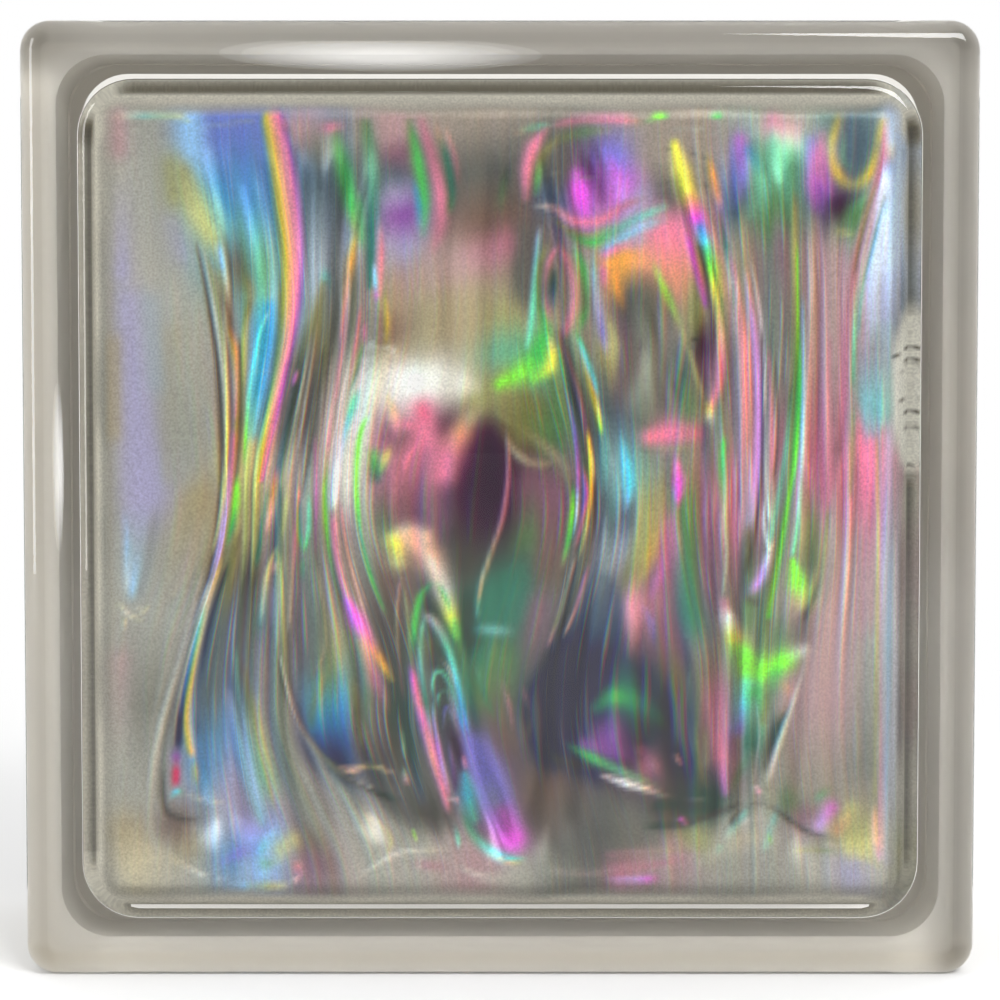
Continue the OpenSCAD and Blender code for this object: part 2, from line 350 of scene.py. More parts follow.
# streaks over the grounds, laid in this order; "across" turns the colours across the path
streaks = {
    "calm left field": [
        ("118,118 150,117 186,118 200,124", "2 2.4 2", "peach aqua straw sky", 0.6),
        ("128,500 131,545 129,592", "2.5 3.4 2", "lavender sky cream", 0.6),
        ("160,505 150,560 140,598", "4 5 3", "ash", 0.45),
        ("122,597 130,610 148,618", "1.8 2.4 1.8", "straw cream straw", 0.6),
        ("128,612 127,628", "1.6", "straw cream", 0.6),
        ("136,602 146,608 154,600", "1.6 2 1.4", "cream straw", 0.5),
        ("206,490 190,560 172,600", "3 4 3", "tan blush tan", 0.4),
        ("207,560 184,650 163,725 152,790 155,838 178,860 212,877", "2 3.4 3 2.4",
         "stone stone cream stone stone sand white", 0.6),
        ("213,560 192,650 171,720 163,770 160,800", "2 3 2.5", "ash smoke ash", 0.6),
        ("199,560 176,640 155,720 146,790", "2 2.4 2", "ash stone ash", 0.35),
        ("113,140 112,400 113,700", "2.4", "stone cream stone", 0.3),
    ],
    "hourglass top": [
        ("277,122 285,160 291,205 295,250 293,295 287,340 279,385 271,430 263,475",
         "15 17 18 17 16 14 11 8 5", "aqua khaki gold salmon pink purple steel", 0.92, "across"),
        ("196,130 228,124 262,121", "1.6 2 1.6", "sky mist straw", 0.4),
        ("214,150 224,185 236,215", "5 6 4", "sky azure azure", 0.35),
        ("222,238 228,266 233,296 238,330", "4 3 1.6", "sky sky cream straw", 0.9),
        ("246,268 253,290 251,312", "5 5 3", "olive khaki khaki", 0.8),
        ("271,305 268,335 262,385 257,428", "7 13 11 8", "azure azure azure aqua", 0.95),
        ("273,305 263,328 256,358 250,395 247,435 245,470", "1.4 2.4 2.6 2",
         "sky cyan cyan mint lime khaki", 0.9),
        ("276,330 273,370 266,410", "2 3 2", "azure sky aqua", 0.4),
        ("253,296 248,330 245,370 242,410 239,455", "2 3 2.6 2", "olive straw yellow yellow gold", 0.9),
        ("224,272 231,304 237,330", "5 6 4", "khaki brown brown", 0.85),
        ("232,318 239,348 240,385 238,425", "2.4 3 2.6", "brown orange peach pink", 0.9),
    ],
    "hourglass waist": [
        ("200,236 211,292 220,356 224,420 224,480 217,545 203,612 187,668 174,730", "1.6 2.8 2.4 1.8",
         "ash dark dark dark dark dark ash", 0.8),
        ("206,240 217,300 225,365 228,430 226,490 218,545", "1.2 1.8 1.2",
         "stone cream stone sand stone", 0.6),
        ("212,252 222,306 229,365 231,420 229,465 224,510 214,555", "1.4 2 1.6",
         "khaki khaki straw yellow straw khaki", 0.8),
        ("217,262 228,322 234,370 235,420 232,470", "1.4 2 1.4", "tan brown brown dark", 0.7),
        ("243,330 244,390 241,445 237,492", "1.6 2.6 1.4", "brown dark brown", 0.8),
        ("238,420 235,462 230,504 223,545 215,578 207,605", "2.4 3 2.6 2",
         "pink pink lilac lilac lilac white", 0.95),
        ("240,470 238,500 234,524 228,550", "1.4 2.8 2.6 1.2", "lime lime green khaki", 0.9),
        ("243,520 234,560 222,590", "2 2.4 1.6", "dark olive dark", 0.6),
        ("214,574 206,602 199,630 192,655", "1.6 2.8 2", "white white cyan sky", 0.95),
        ("209,602 198,640 189,678 182,716 179,752", "2 3.4 4.4 4", "cyan azure deepBlue navy navy", 0.95),
        ("226,552 212,596 202,636 194,676 189,712 191,738 195,757", "1.6 2.2 2.4 3.4 3",
         "gold sand straw gold gold gold orange", 0.85),
        ("232,556 218,600 208,642 201,690 199,740", "1.6 2.4 3", "dark navy navy steel steel", 0.75),
        ("220,556 206,600 194,640 185,676 178,714 174,752", "1.2 1.6 1.4", "stone tan sand tan ash", 0.7),
        ("178,748 178,760", "4.4", "purple purple", 0.85),
        ("178,760 177,786", "4 4", "red red", 0.9),
        ("171,798 178,789 188,793", "2 3 2", "aqua cyan khaki", 0.8),
        ("167,752 165,790 169,810 184,817 204,818", "2.4 3.4 2.6", "smoke dark dark dark brown", 0.8),
        ("186,792 206,798 232,804", "1.8 2.4 1.6", "sand cream stone", 0.6),
        ("196,758 199,785", "3 4", "gold khaki", 0.6),
    ],
    "lower left fold": [
        ("230,692 242,742 255,790 264,822", "4 6.5 6 4", "mist sky sky aqua", 0.75),
        ("244,655 254,705 266,755 275,805", "3 5 5 3", "brown olive khaki tan", 0.75),
        ("236,640 240,690 250,735", "2 3 2", "jade aqua mist", 0.5),
        ("204,760 207,790 212,806", "3 4.4 3", "azure sky sky", 0.7),
        ("262,848 270,836 276,828", "5 6 3", "cyan sky sky", 0.8),
        ("282,848 294,838", "9", "straw straw", 0.6),
        ("296,858 300,872", "4", "salmon pink", 0.7),
        ("214,877 245,884 270,886 292,881 303,871", "1.8 2.4 1.8", "white sky straw cream pink", 0.85),
        ("256,856 268,862 282,858", "4 5 3", "aqua jade straw", 0.5),
        ("225,860 242,850 254,838", "4 6 4", "violet violet sky", 0.6),
    ],
    "left of centre, top": [
        ("282,119 292,131", "5 4", "pink mauve", 0.7),
        ("326,128 340,127", "5 5", "rose pink", 0.85),
        ("340,136 347,172 353,205 358,232", "6 7 6 4", "moss green green khaki", 0.8),
        ("358,230 353,258 347,300 342,345", "3 4 2.4 1.6", "straw orange salmon rose", 0.85),
        ("352,262 349,310 342,360 337,405", "1.4 2 1.4", "smoke blush pink pink", 0.6),
        ("368,124 373,170 373,225 371,285", "6 8 7 3", "moss jade teal teal", 0.85),
        ("362,190 364,250", "3 4", "green green", 0.5),
        ("327,266 328,285", "3.4 4", "aqua aqua", 0.85),
        ("327,282 322,320 314,360", "4 7 6", "olive olive brown", 0.75),
        ("331,270 332,305 327,350 323,400 320,455", "1.2 1.8 1.2", "aqua stone khaki stone stone", 0.7),
        ("323,300 316,350 306,410 297,470", "1.2 1.6 1.4", "olive stone sand stone", 0.6),
        ("316,325 303,390 291,450 284,500", "1.2 1.6 1.2", "slate stone tan stone", 0.6),
        ("312,340 296,400 283,455 273,505", "2 3 3", "slate dark slate slate", 0.7),
        ("300,366 295,384", "2 1.6", "pink orchid", 0.9),
        ("326,340 319,400 310,460 304,500", "1.2 1.6 1.4", "dark smoke dark ash", 0.6),
        ("290,352 283,395 275,440 267,480", "1.4 2 1.6", "purple orchid salmon peach", 0.7),
        ("363,300 357,344 349,392 343,440 337,492", "1.4 2.2 1.6", "rose pink stone peach pink", 0.8),
        ("366,318 366,345", "1.8 1.6", "pink rose", 0.7),
        ("366,335 358,370 351,392", "1.4 2 1.4", "green moss jade", 0.6),
        ("341,340 336,392 331,440 329,490", "1.4 2 1.4", "ash blush pink lime", 0.7),
        ("334,350 328,410 322,470 318,520", "1.2 1.8 1.2", "stone sand blush rose", 0.6),
        ("360,385 354,404 348,425", "3 4 3", "mint mint cyan", 0.95),
        ("352,410 344,440 338,475 334,510", "2.4 4 3.4 2", "cyan ice white white", 0.95),
        ("372,410 363,424 358,452 357,492 361,530", "2 2.6 2", "ice lime lime lime green", 0.85),
    ],
    "left of centre, foot": [
        ("271,480 264,525 257,568", "2 3 2", "jade teal teal", 0.8),
        ("279,462 274,500 266,540", "2.4 3.6 2", "pink orange peach brown", 0.85),
        ("293,462 288,500 283,540", "1.6 2.4 1.6", "rose straw khaki", 0.7),
        ("283,480 279,520 268,575 259,632", "2.4 4 5", "steel slate slate teal", 0.7),
        ("278,542 268,575 262,625", "1.4 2.6 2", "straw straw aqua", 0.85),
        ("278,542 283,580 286,640 290,690", "1.4 2.4 2", "khaki straw khaki slate", 0.85),
        ("277,556 275,572", "2.4 2", "peach salmon", 0.8),
        ("275,580 274,630", "2 3.4", "lavender ash", 0.6),
        ("286,560 288,620 293,680 308,730", "2 3 2", "steel dark dark slate", 0.6),
        ("275,628 283,676 295,710 312,740 338,764 372,780", "1.4 2.8 2 1.6",
         "ash dark smoke dark dark ash", 0.85),
        ("280,646 288,684 301,720 318,748 345,774 382,790", "1.2 2 2 1.4",
         "cream stone cream sand stone cream", 0.8),
        ("291,690 306,728 330,762 362,784 402,800", "1.6 2.6 3 3", "ash dark dark dark pine", 0.75),
        ("270,625 274,690 290,742 310,790", "3 4 5", "smoke ash grey stone", 0.5),
        ("299,720 330,775 360,812 380,850", "3 5 6 4", "stone sand stone stone", 0.5),
        ("302,480 299,520 294,575 290,630", "1.6 2.2 1.4", "peach pink tan stone", 0.85),
        ("302,492 301,522 305,550", "1.2 1.8 1.4", "teal green green", 0.9),
        ("310,488 310,525 306,552", "1.2 1.6 1.4", "mint mint green", 0.85),
        ("305,552 304,580", "2", "green teal", 0.5),
        ("316,430 317,490 316,560", "1.4 1.8 1.2", "rose orchid mauve", 0.7),
        ("318,560 325,610 325,648 312,676", "1.2 1.8 1.4", "stone khaki tan brown", 0.75),
        ("327,470 329,520 335,566 345,600", "1.4 2.4 2 1.4", "lime lime jade teal", 0.85),
        ("334,505 337,545 345,585 354,610", "2.4 2.6 3", "pink pink pink orchid", 0.95),
        ("341,496 349,550 362,600 374,640", "1.4 2 1.6", "pink salmon peach pink", 0.8),
        ("347,500 356,560 370,610", "1.2 1.6 1.4", "rose stone rose", 0.6),
        ("349,598 358,618 371,640", "3 7 6", "magenta magenta pink", 0.95),
        ("366,634 380,656 392,676", "5 5 3", "pink orange gold", 0.9),
        ("362,640 376,676 388,706", "4 8 4", "salmon rose brown", 0.75),
        ("358,486 361,530 372,575 388,615", "1.4 2.2 1.6", "lime jade green moss", 0.85),
        ("330,660 316,700 312,730", "3 4 4", "khaki olive teal", 0.6),
        ("336,764 352,768 372,764 398,772", "2 3 2.4 1.6", "salmon peach khaki peach", 0.8),
        ("352,672 360,710 364,748", "3 4 3", "khaki olive khaki", 0.6),
        ("404,764 408,784", "2.4 3.4", "jade pink", 0.85),
        ("402,720 406,758", "1.4 1.8", "moss mint", 0.6),
        ("350,806 380,822 392,840 384,860", "2 2.6 1.8", "stone sand straw stone", 0.6),
        ("352,880 378,862 405,850 452,847", "1.8 2.4 2", "stone cream cream sand", 0.65),
        ("412,826 418,842", "1.6", "lime straw", 0.8),
        ("418,862 448,866", "5", "rose blush", 0.6),
        ("420,846 420,872", "1.4", "stone cream", 0.5),
        ("452,862 480,874 520,878", "2 3 2", "stone cream stone", 0.5),
    ],
    "centre top": [
        ("411,122 419,158 425,198 424,232", "4 6 6 4", "moss green green jade", 0.85),
        ("414,175 420,205 420,235", "3 4 3", "blue azure lavender", 0.6),
        ("423,122 433,158 441,194 440,228 430,256", "4 6 6.5 5", "rose rose pink rose blush", 0.85),
        ("436,124 446,154 452,190 450,215", "2.4 4 3", "salmon teal teal moss", 0.75),
        ("444,124 455,156 460,190", "2 2.6 2", "peach rose brown", 0.6),
        ("380,214 382,250 379,285 378,300", "3 4 4 2", "lavender pink pink orchid", 0.85),
        ("375,258 377,292", "2 2.4", "ice cyan", 0.9),
        ("385,284 389,318 387,350", "2 2.6 1.6", "khaki gold olive", 0.7),
        ("380,300 382,350", "3", "mauve", 0.6),
        ("506,168 500,205", "4 5", "pine moss", 0.5),
        ("545,128 532,148 526,170 525,196", "3 7 6 4", "rose pink pink rose", 0.9),
        ("556,138 541,158 535,192", "3 5 3", "khaki olive green", 0.8),
        ("512,134 530,128 556,124", "2 3 2", "salmon jade mint", 0.6),
        ("548,126 580,120 620,120 642,123", "3 4 4 3", "rose rose pink khaki", 0.75),
        ("552,142 582,132 608,130", "4 6 4", "olive moss khaki", 0.6),
    ],
    "scratches": [
        ("352,333 372,331 390,333", "0.8", "white cream", 0.4),
        ("362,346 380,344 404,346", "0.8", "cream white", 0.4),
        ("356,358 384,355 404,353", "0.8", "cream", 0.35),
        ("368,341 377,342", "0.8", "white", 0.4),
        ("390,350 399,349", "0.8", "white", 0.5),
        ("180,366 260,368 340,366", "0.9", "stone", 0.25),
    ],
    "green glow and spots": [
        ("544,338 538,354 524,368 500,381", "6 11 11 6", "green green lime lime", 0.75),
        ("549,336 551,352 547,366 534,377", "3 6 6 4", "peach yellow yellow lime", 0.85),
        ("390,392 396,414 397,432", "2 5 5", "straw peach pink", 0.95),
        ("402,420 416,424", "5", "pink pink", 0.8),
        ("423,408 425,436", "12 12", "pink pink", 0.95),
        ("424,404 430,424", "4 5", "red pink", 0.4),
        ("418,440 408,456 404,480", "2 2.8 1.6", "pink pink rose", 0.9),
        ("376,452 377,474", "6 6", "green teal", 0.9),
        ("392,444 386,458 381,472", "3 4.4 3", "yellow straw green", 0.9),
        ("444,470 448,454 460,430 470,414", "11 13 11 7", "pink pink salmon tan", 0.9),
        ("470,416 480,400", "6 5", "tan khaki", 0.6),
        ("496,410 520,424 548,446 562,462 568,490", "3 4 5 4", "khaki olive tan tan olive", 0.6),
        ("505,432 518,452 536,461 556,458", "2.4 4 3", "tan sand tan tan", 0.6),
        ("507,424 508,470 502,515 490,552 481,580 478,604", "1.4 2.4 2 1.6",
         "tan rose rose tan sand tan", 0.85),
        ("394,535 408,531 424,534", "7 9 8", "straw cream peach", 0.95),
        ("398,541 399,557", "8 8", "yellow straw", 0.9),
        ("412,534 430,556 443,588 451,614 457,634", "9 12 9 6 3", "peach peach cream yellow lime", 1.0),
        ("428,548 438,572 446,600", "3 3.4 2.4", "white cream straw", 0.7),
        ("480,626 508,628", "5", "aqua aqua", 0.7),
        ("478,590 478,620", "2", "jade aqua", 0.6),
        ("476,660 484,690 496,720", "2 2.6 2", "jade teal moss", 0.6),
        ("498,670 508,700 514,736", "2 2.4 2", "moss rose brown", 0.6),
        ("520,680 530,710 527,740", "2 3 2", "rose brown brown", 0.5),
    ],
    "nested loops": [
        ("401,572 398,610 399,655 404,700", "1.2 1.8 1.4", "rose tan brown brown", 0.75),
        ("404,584 409,620 413,660 420,690", "1.2 1.6 1.2", "khaki khaki teal", 0.7),
        ("431,640 432,660", "6 7", "olive dark", 0.7),
        ("453,612 461,648 469,690 478,730", "3 4 4 3", "green moss teal steel", 0.85),
        ("434,577 421,594 415,622 413,655", "2 3.4 3.6 2.4", "jade green green teal", 0.95),
        ("434,577 444,592 452,614", "2 2.4 2", "jade green green", 0.7),
        ("412,662 419,700 431,745 442,785 449,812", "3 4 3.6 3", "magenta pink magenta pink rose", 0.95),
        ("424,715 432,752 441,785", "3 3.4 2.4", "rose salmon rose", 0.85),
        ("425,612 421,638 421,665 426,700 433,735", "1.8 2.6 2.4 2", "mint jade aqua teal lilac", 0.85),
        ("424,610 435,620 447,645 456,675 463,705 471,740", "3 4 3.4 3.4 3",
         "cream white mint cyan azure violet", 0.95),
        ("436,730 443,765 450,798", "2 2.6 2", "magenta lilac pink", 0.8),
        ("440,655 449,668 456,690", "1.4 1.8 1.2", "sand cream stone", 0.7),
        ("434,700 433,680 438,668 446,674 454,694 460,716 467,742", "1.4 2 2.2 1.8",
         "teal mint mint mint aqua azure violet", 0.9),
        ("433,698 435,720 441,750", "1.4 1.8", "mint lilac lilac", 0.75),
        ("442,690 447,688 453,704 461,732", "1.4 2 1.6", "mint jade lavender violet", 0.8),
        ("440,708 439,694 443,688", "1.4 1.6 1.2", "teal mint mint", 0.75),
        ("444,730 446,706 452,712 460,740", "1.4 2 1.6", "lavender violet lavender mauve", 0.8),
        ("450,724 457,745 463,768", "4 5.5 4", "plum plum plum", 0.9),
        ("449,738 454,770 456,795", "1.6 2 2", "lilac purple plum", 0.7),
        ("462,752 466,770", "2 2.4", "pink lilac", 0.85),
        ("474,736 486,772 497,806", "4 7 6", "violet violet lavender", 0.8),
        ("465,774 468,794 473,816", "4 7.5 6", "cyan cyan mint", 1.0),
        ("503,812 512,836", "8 10", "orchid magenta", 0.9),
        ("462,808 476,836 500,855 524,858", "3 5 4.4 2.4", "teal jade cyan mint", 0.9),
        ("488,850 508,861 524,862", "1.8 2.2 1.6", "straw peach yellow", 0.7),
        ("444,798 456,796 458,803", "1.6", "cream pink", 0.7),
        ("454,818 458,838 459,848", "2 2.2 1.4", "steel mint ice", 0.75),
        ("408,700 412,750 422,800", "4 5 4", "pine pine steel", 0.75),
    ],
    "right of centre, top": [
        ("536,170 570,176 600,178", "1.2", "ash", 0.4),
        ("574,172 578,190 583,212", "3 6 5", "orchid magenta magenta", 0.85),
        ("590,150 596,170 600,200", "3 5 4", "violet purple plum", 0.7),
        ("604,150 614,174 626,206", "4 6 6", "violet orchid lilac", 0.85),
        ("532,204 552,207 574,220 598,219 622,205 644,196", "2 4 4.4 4 3",
         "stone blush pink pink rose blush", 0.85),
        ("548,214 570,229 592,234 616,222", "2 3 3.4 3", "khaki olive khaki jade", 0.7),
        ("566,232 590,241 612,230 634,218 662,206", "3 5 5 5 4", "moss green jade aqua mint", 0.85),
        ("598,250 616,240 640,226 662,218", "3 4 5 4", "azure cyan sky aqua", 0.7),
        ("539,222 536,256 533,296 529,335 526,350", "2 3 3.4 2", "lavender aqua mint mint jade", 0.9),
        ("546,240 539,266 538,300 545,330", "2 3 2.4", "khaki olive moss green", 0.8),
        ("557,243 547,262 544,290 550,322", "2 3 3 2.4", "pink rose mauve pink", 0.85),
        ("552,272 551,300", "5 6", "pine steel", 0.9),
        ("558,243 568,264 573,294 567,324 560,338", "2.4 4 4 3", "pink rose rose pink pink", 0.85),
        ("572,240 582,268 585,300 579,328", "3 4 4 3", "jade green moss green", 0.8),
        ("590,254 596,296 602,330 606,352", "4 5 5 3", "aqua lavender violet lavender", 0.85),
        ("602,258 602,290", "4 4", "magenta rose", 0.6),
    ],
    "stem": [
        ("560,332 575,384 586,432 591,480 587,518", "5 8 7 4", "brown dark dark dark dark", 0.9),
        ("556,340 566,384 575,428 578,470 577,500", "1.4 2.6 2", "green teal violet orchid violet", 0.85),
        ("562,336 574,376 584,420 588,460", "1.6 2.4 1.8", "mauve rose purple rose", 0.6),
        ("578,336 588,374 596,408 601,434", "1.4 2.8 2", "khaki gold yellow lime", 0.95),
        ("574,326 583,350 591,374 598,396", "1.8 2.8 1.6", "green cyan cyan aqua", 0.9),
        ("600,360 607,410 612,460 608,510", "3 4 4", "slate slate mist slate", 0.5),
        ("604,430 609,460 606,500", "1.4 1.8 1.4", "aqua mist slate", 0.6),
        ("618,428 624,460 627,482 624,508", "2 5 5 2", "aqua cyan cyan sky", 0.95),
        ("586,424 590,456 590,490 585,526 577,560", "1.4 2.4 2 1.4", "gold yellow gold straw khaki", 0.95),
        ("582,460 586,490 582,516 575,546", "1.4 2 1.6", "rose magenta pink rose", 0.9),
        ("577,482 576,508 571,538", "1.6 2.2 1.4", "sky ice azure", 0.9),
        ("571,476 571,504 567,536 560,566", "1.6 2.8 2", "teal lime green khaki", 0.9),
        ("594,470 594,515 585,560 570,604 554,640", "2 3 3 2", "dark dark smoke dark dark", 0.75),
        ("600,480 600,520 590,560 575,600", "1.6 2.2 2", "ash steel smoke slate", 0.6),
        ("578,546 566,586 555,620 546,646", "1.4 2.4 2", "sand rose tan rose", 0.75),
        ("588,560 576,602 562,636", "1.2 1.8 1.4", "orchid rose peach", 0.65),
        ("570,566 562,600 552,630", "1.4 2 1.4", "teal moss olive", 0.7),
        ("546,648 536,690 530,730", "4 6 5", "dark navy dark", 0.7),
    ],
    "dark foot": [
        ("604,574 610,600 604,650", "5 7 6", "steel steel pine", 0.6),
        ("552,704 543,732 556,756 590,764", "6 8 6 3", "navy navy dark dark", 0.7),
        ("596,704 614,693 640,702 664,722", "6 9 8 5", "teal green teal pine", 0.75),
        ("584,742 610,748 640,752", "6 8 6", "purple purple plum", 0.7),
        ("642,748 652,764 656,782", "5 6 4", "rose rose plum", 0.6),
        ("566,742 590,754 620,768 656,783", "3 5 5 3", "teal green jade khaki", 0.8),
        ("594,770 626,780 662,791", "1.6 4 2", "blush white peach", 0.95),
        ("640,596 650,618 654,650", "2 3 3", "rose violet steel", 0.6),
        ("624,590 634,620 630,650", "3 5 4", "rose rose mauve", 0.6),
        ("658,508 650,550 636,584", "4 6 4", "khaki gold khaki", 0.5),
        ("674,506 666,545 652,592", "3 5 4", "rose rose orchid", 0.6),
        ("684,640 694,700 690,740", "4 6 4", "plum dark dark", 0.6),
        ("690,660 686,710 694,760", "1.2 1.6 1.2", "ash smoke ash", 0.4),
        ("672,750 682,764", "2.4", "salmon rose", 0.7),
        ("694,720 700,765 706,790", "3 4 3", "brown olive dark", 0.6),
    ],
    "arch": [
        ("604,252 618,246 640,238", "4 6 5", "magenta pink lavender", 0.8),
        ("608,262 624,256 646,262", "5 8 6", "orange orange salmon", 0.85),
        ("610,260 616,288 624,314", "5 5 2", "orange orange brown", 0.85),
        ("606,310 612,342 610,374", "3 6 3", "khaki straw khaki", 0.75),
        ("690,282 697,306 694,330", "4 6 4", "khaki khaki olive", 0.7),
        ("650,258 663,288 678,324 691,362 704,408", "2.4 3.4 3 2.4", "straw lime khaki khaki straw", 0.7),
        ("682,341 698,335", "1.6", "dark dark", 0.8),
        ("684,346 698,342", "1.2", "smoke", 0.7),
        ("645,300 660,350 676,396", "4 5 4", "dark smoke pine", 0.5),
        ("648,434 670,430 692,430", "8 13 9", "pink pink rose", 0.95),
        ("648,445 690,446", "3", "stone khaki", 0.6),
        ("673,448 677,478 676,506", "2 5.5 2", "pink magenta magenta", 0.95),
        ("671,452 672,490", "2", "salmon red", 0.6),
        ("640,330 636,380", "2", "plum mauve", 0.4),
    ],
    "bright streaks": [
        ("646,152 680,150 720,166", "1", "smoke", 0.5),
        ("644,166 684,164 724,178", "1", "ash", 0.45),
        ("650,134 690,128 728,140", "1.4", "ash stone ash", 0.5),
        ("654,180 690,182 720,190", "1", "smoke", 0.4),
        ("640,122 656,117 668,117", "1.6 2.4 1.4", "jade lime green", 0.85),
        ("700,114 712,116 722,120", "1.4 2.2 1.4", "mint green moss", 0.85),
        ("676,116 692,113", "1.2", "cream mint", 0.7),
        ("672,144 679,170 686,194 690,206", "4 8 8 6", "yellow yellow yellow orange", 1.0),
        ("688,198 693,216 698,232", "6 7.5 5.5", "salmon magenta orchid", 1.0),
        ("697,226 701,241 705,256", "5 6.5 6", "azure cyan mint", 1.0),
        ("703,250 708,268 713,290", "6 6.5 5", "green lime yellow", 1.0),
        ("711,282 716,310 718,345 716,380 708,405 702,418", "5 5 4.6 4 4.4 3.4",
         "yellow straw peach pink pink salmon straw", 0.95),
        ("704,404 708,417", "5", "yellow cream", 0.85),
        ("684,228 691,256 700,290 704,310", "3 3.4 2", "magenta magenta orchid purple", 0.85),
        ("694,232 704,280 710,330 708,375", "2.4 3 3 2", "dark plum plum mauve", 0.75),
        ("704,148 709,174 714,196 718,214", "2.4 4 2.4", "khaki orange salmon violet", 0.85),
        ("696,186 708,216 722,256 732,296", "1.2 1.8 1.4", "stone ash stone cream", 0.7),
        ("714,206 722,244 730,280 734,310", "2.4 4 3", "mauve teal jade moss", 0.8),
        ("706,250 718,300 724,350 724,400", "1.4 2 1.6", "smoke moss olive moss", 0.6),
        ("726,250 736,300 741,345 743,396 741,450 737,505", "2.4 5 5 4",
         "rose rose pink pink rose mauve", 0.9),
        ("732,270 740,320 747,380 748,430", "1.2 1.6 1.2", "cream pink stone", 0.5),
        ("736,140 738,176 731,214", "6 7 4", "orchid violet steel", 0.75),
        ("744,150 754,176 748,214", "5 7 5", "azure jade jade", 0.6),
        ("722,430 720,462 722,500 725,550 720,600", "2.4 3.4 2 1.6", "green green khaki stone stone", 0.8),
        ("728,420 731,470 730,520", "1.4", "khaki rose mauve", 0.5),
    ],
    "long lines": [
        ("746,246 754,300 759,360 761,424 763,480 766,520", "1.2 2 1.6",
         "ash cream cream stone cream white", 0.85),
        ("742,260 749,315 753,370 754,430 751,480 747,530", "1.6 3 4 3",
         "blush lilac lilac lilac lilac lavender", 0.95),
        ("757,320 758,400 757,470 751,530 744,575", "1.4 2 2", "dark plum dark dark dark", 0.75),
        ("764,340 767,410 768,460 765,495", "1.4 2.2 1.6", "rose pink pink stone", 0.8),
        ("771,350 774,430 770,480", "1.2 1.6", "dark smoke dark", 0.6),
        ("782,220 786,290 787,350", "3 4 3", "mauve blush ash", 0.5),
        ("790,196 790,250 793,320 795,382 792,440 785,492 777,545 768,600", "4 6 5 3.4",
         "khaki straw khaki green green jade green moss", 0.85),
        ("792,236 794,320 796,396 793,450 786,498 777,552 769,596 766,618", "1.4 2 2.2 3",
         "lime lime green lime lime lime lime green", 0.9),
        ("799,290 801,380 799,460 795,520 790,556", "1.2 2 1.8", "sky ice ice mint mint", 0.85),
        ("787,380 783,440 774,500 766,545", "1.8 3.4 3", "moss mint mint aqua", 0.8),
        ("762,490 760,520 766,545 772,530", "1.4 2 1.8 1.4", "cream white cream stone", 0.8),
        ("769,540 759,570 746,592", "3 5.5 3.4", "white lilac lilac", 0.95),
        ("742,520 741,560 745,594 760,600", "2.4 4 3", "smoke dark dark dark", 0.6),
        ("791,558 796,580 803,597", "3 8 10", "lime lime straw", 0.95),
        ("818,552 814,578 804,602", "2.4 4.4 5", "khaki straw lime", 0.75),
        ("826,500 822,545 812,590 798,622", "2.4 3.4 4", "moss khaki smoke dark", 0.7),
        ("800,470 806,520 804,560", "4 6 5", "mauve moss smoke", 0.5),
        ("830,480 830,540 824,590 810,630", "1.4 2 1.6", "stone lavender ash stone", 0.4),
        ("806,330 804,400 806,470", "2 3 2", "rose rose mauve", 0.5),
        ("826,330 822,400 814,480", "2.4 4 3", "rose rose rose", 0.5),
    ],
    "green fork": [
        ("722,600 727,622", "5 6", "pink white", 0.95),
        ("726,616 733,634 742,656", "6 8 8.5", "white yellow lime", 1.0),
        ("740,650 747,668 747,686", "8 12 9", "lime lime green", 1.0),
        ("750,672 768,665 784,657 800,648", "9 11 10 6", "lime lime lime cream", 1.0),
        ("745,682 741,702 737,726", "8 8 6", "mint cyan violet", 0.9),
        ("754,690 757,712 752,742", "7 9 6", "green jade teal", 0.75),
        ("772,672 767,692 760,718", "7 8 5", "green moss olive", 0.7),
        ("776,676 790,690", "5", "khaki salmon", 0.5),
        ("732,640 734,690 730,740", "2.4 3.4 3", "khaki aqua violet", 0.6),
        ("724,600 716,650 708,700", "4 5 5", "rose olive rose", 0.5),
        ("714,720 720,755 724,790", "5 7 4", "rose pink orchid", 0.75),
        ("728,730 732,760 727,788", "4 5 4", "purple rose rose", 0.6),
        ("704,720 706,770", "3 4", "olive tan", 0.6),
        ("746,748 738,770 730,790", "4 4 3", "jade moss khaki", 0.6),
        ("790,702 776,730 764,764", "3 6 5", "dark pine dark", 0.85),
        ("806,650 794,690 783,726 773,756 765,784", "1.6 2.4 3.4 3", "blush cream cream cream stone", 0.8),
        ("751,690 757,725 754,760 753,784", "1.2 1.6 1.2", "mint stone stone stone", 0.55),
        ("751,782 760,793", "2.4", "white pink", 0.8),
        ("747,800 738,818 726,836", "3 4 3", "mint aqua mint", 0.75),
        ("722,842 712,856", "3.4 2.4", "mint stone", 0.7),
        ("778,800 769,828 762,850", "2.4 4 3", "aqua aqua mint", 0.65),
        ("766,832 772,842", "1.6", "lime", 0.7),
        ("650,792 680,796 716,800", "1.4 1.8 1.4", "stone dark stone", 0.7),
        ("655,803 690,802 718,808", "4 6 4", "pine dark pine", 0.85),
        ("640,824 680,822 712,812 748,798", "2.4 4 3.4 2.4", "pine dark dark ash", 0.85),
        ("676,814 688,823", "2.4", "magenta rose", 0.7),
        ("720,832 742,806 764,802 786,816 806,830 840,838", "2 2.6 2.6 3 2",
         "smoke ash ash dark dark ash", 0.7),
        ("716,846 742,820 762,818 782,840", "2.4 3 2.4", "stone cream stone stone", 0.5),
        ("790,850 812,848 840,852", "2.4 3 2", "straw khaki moss", 0.5),
        ("700,860 745,836 772,838", "6 8 6", "stone sand stone", 0.5),
    ],
    "far right": [
        ("806,140 806,180 812,206", "5 7 6", "violet orchid purple", 0.6),
        ("816,134 814,168 824,192", "4 5 4", "pink rose orchid", 0.7),
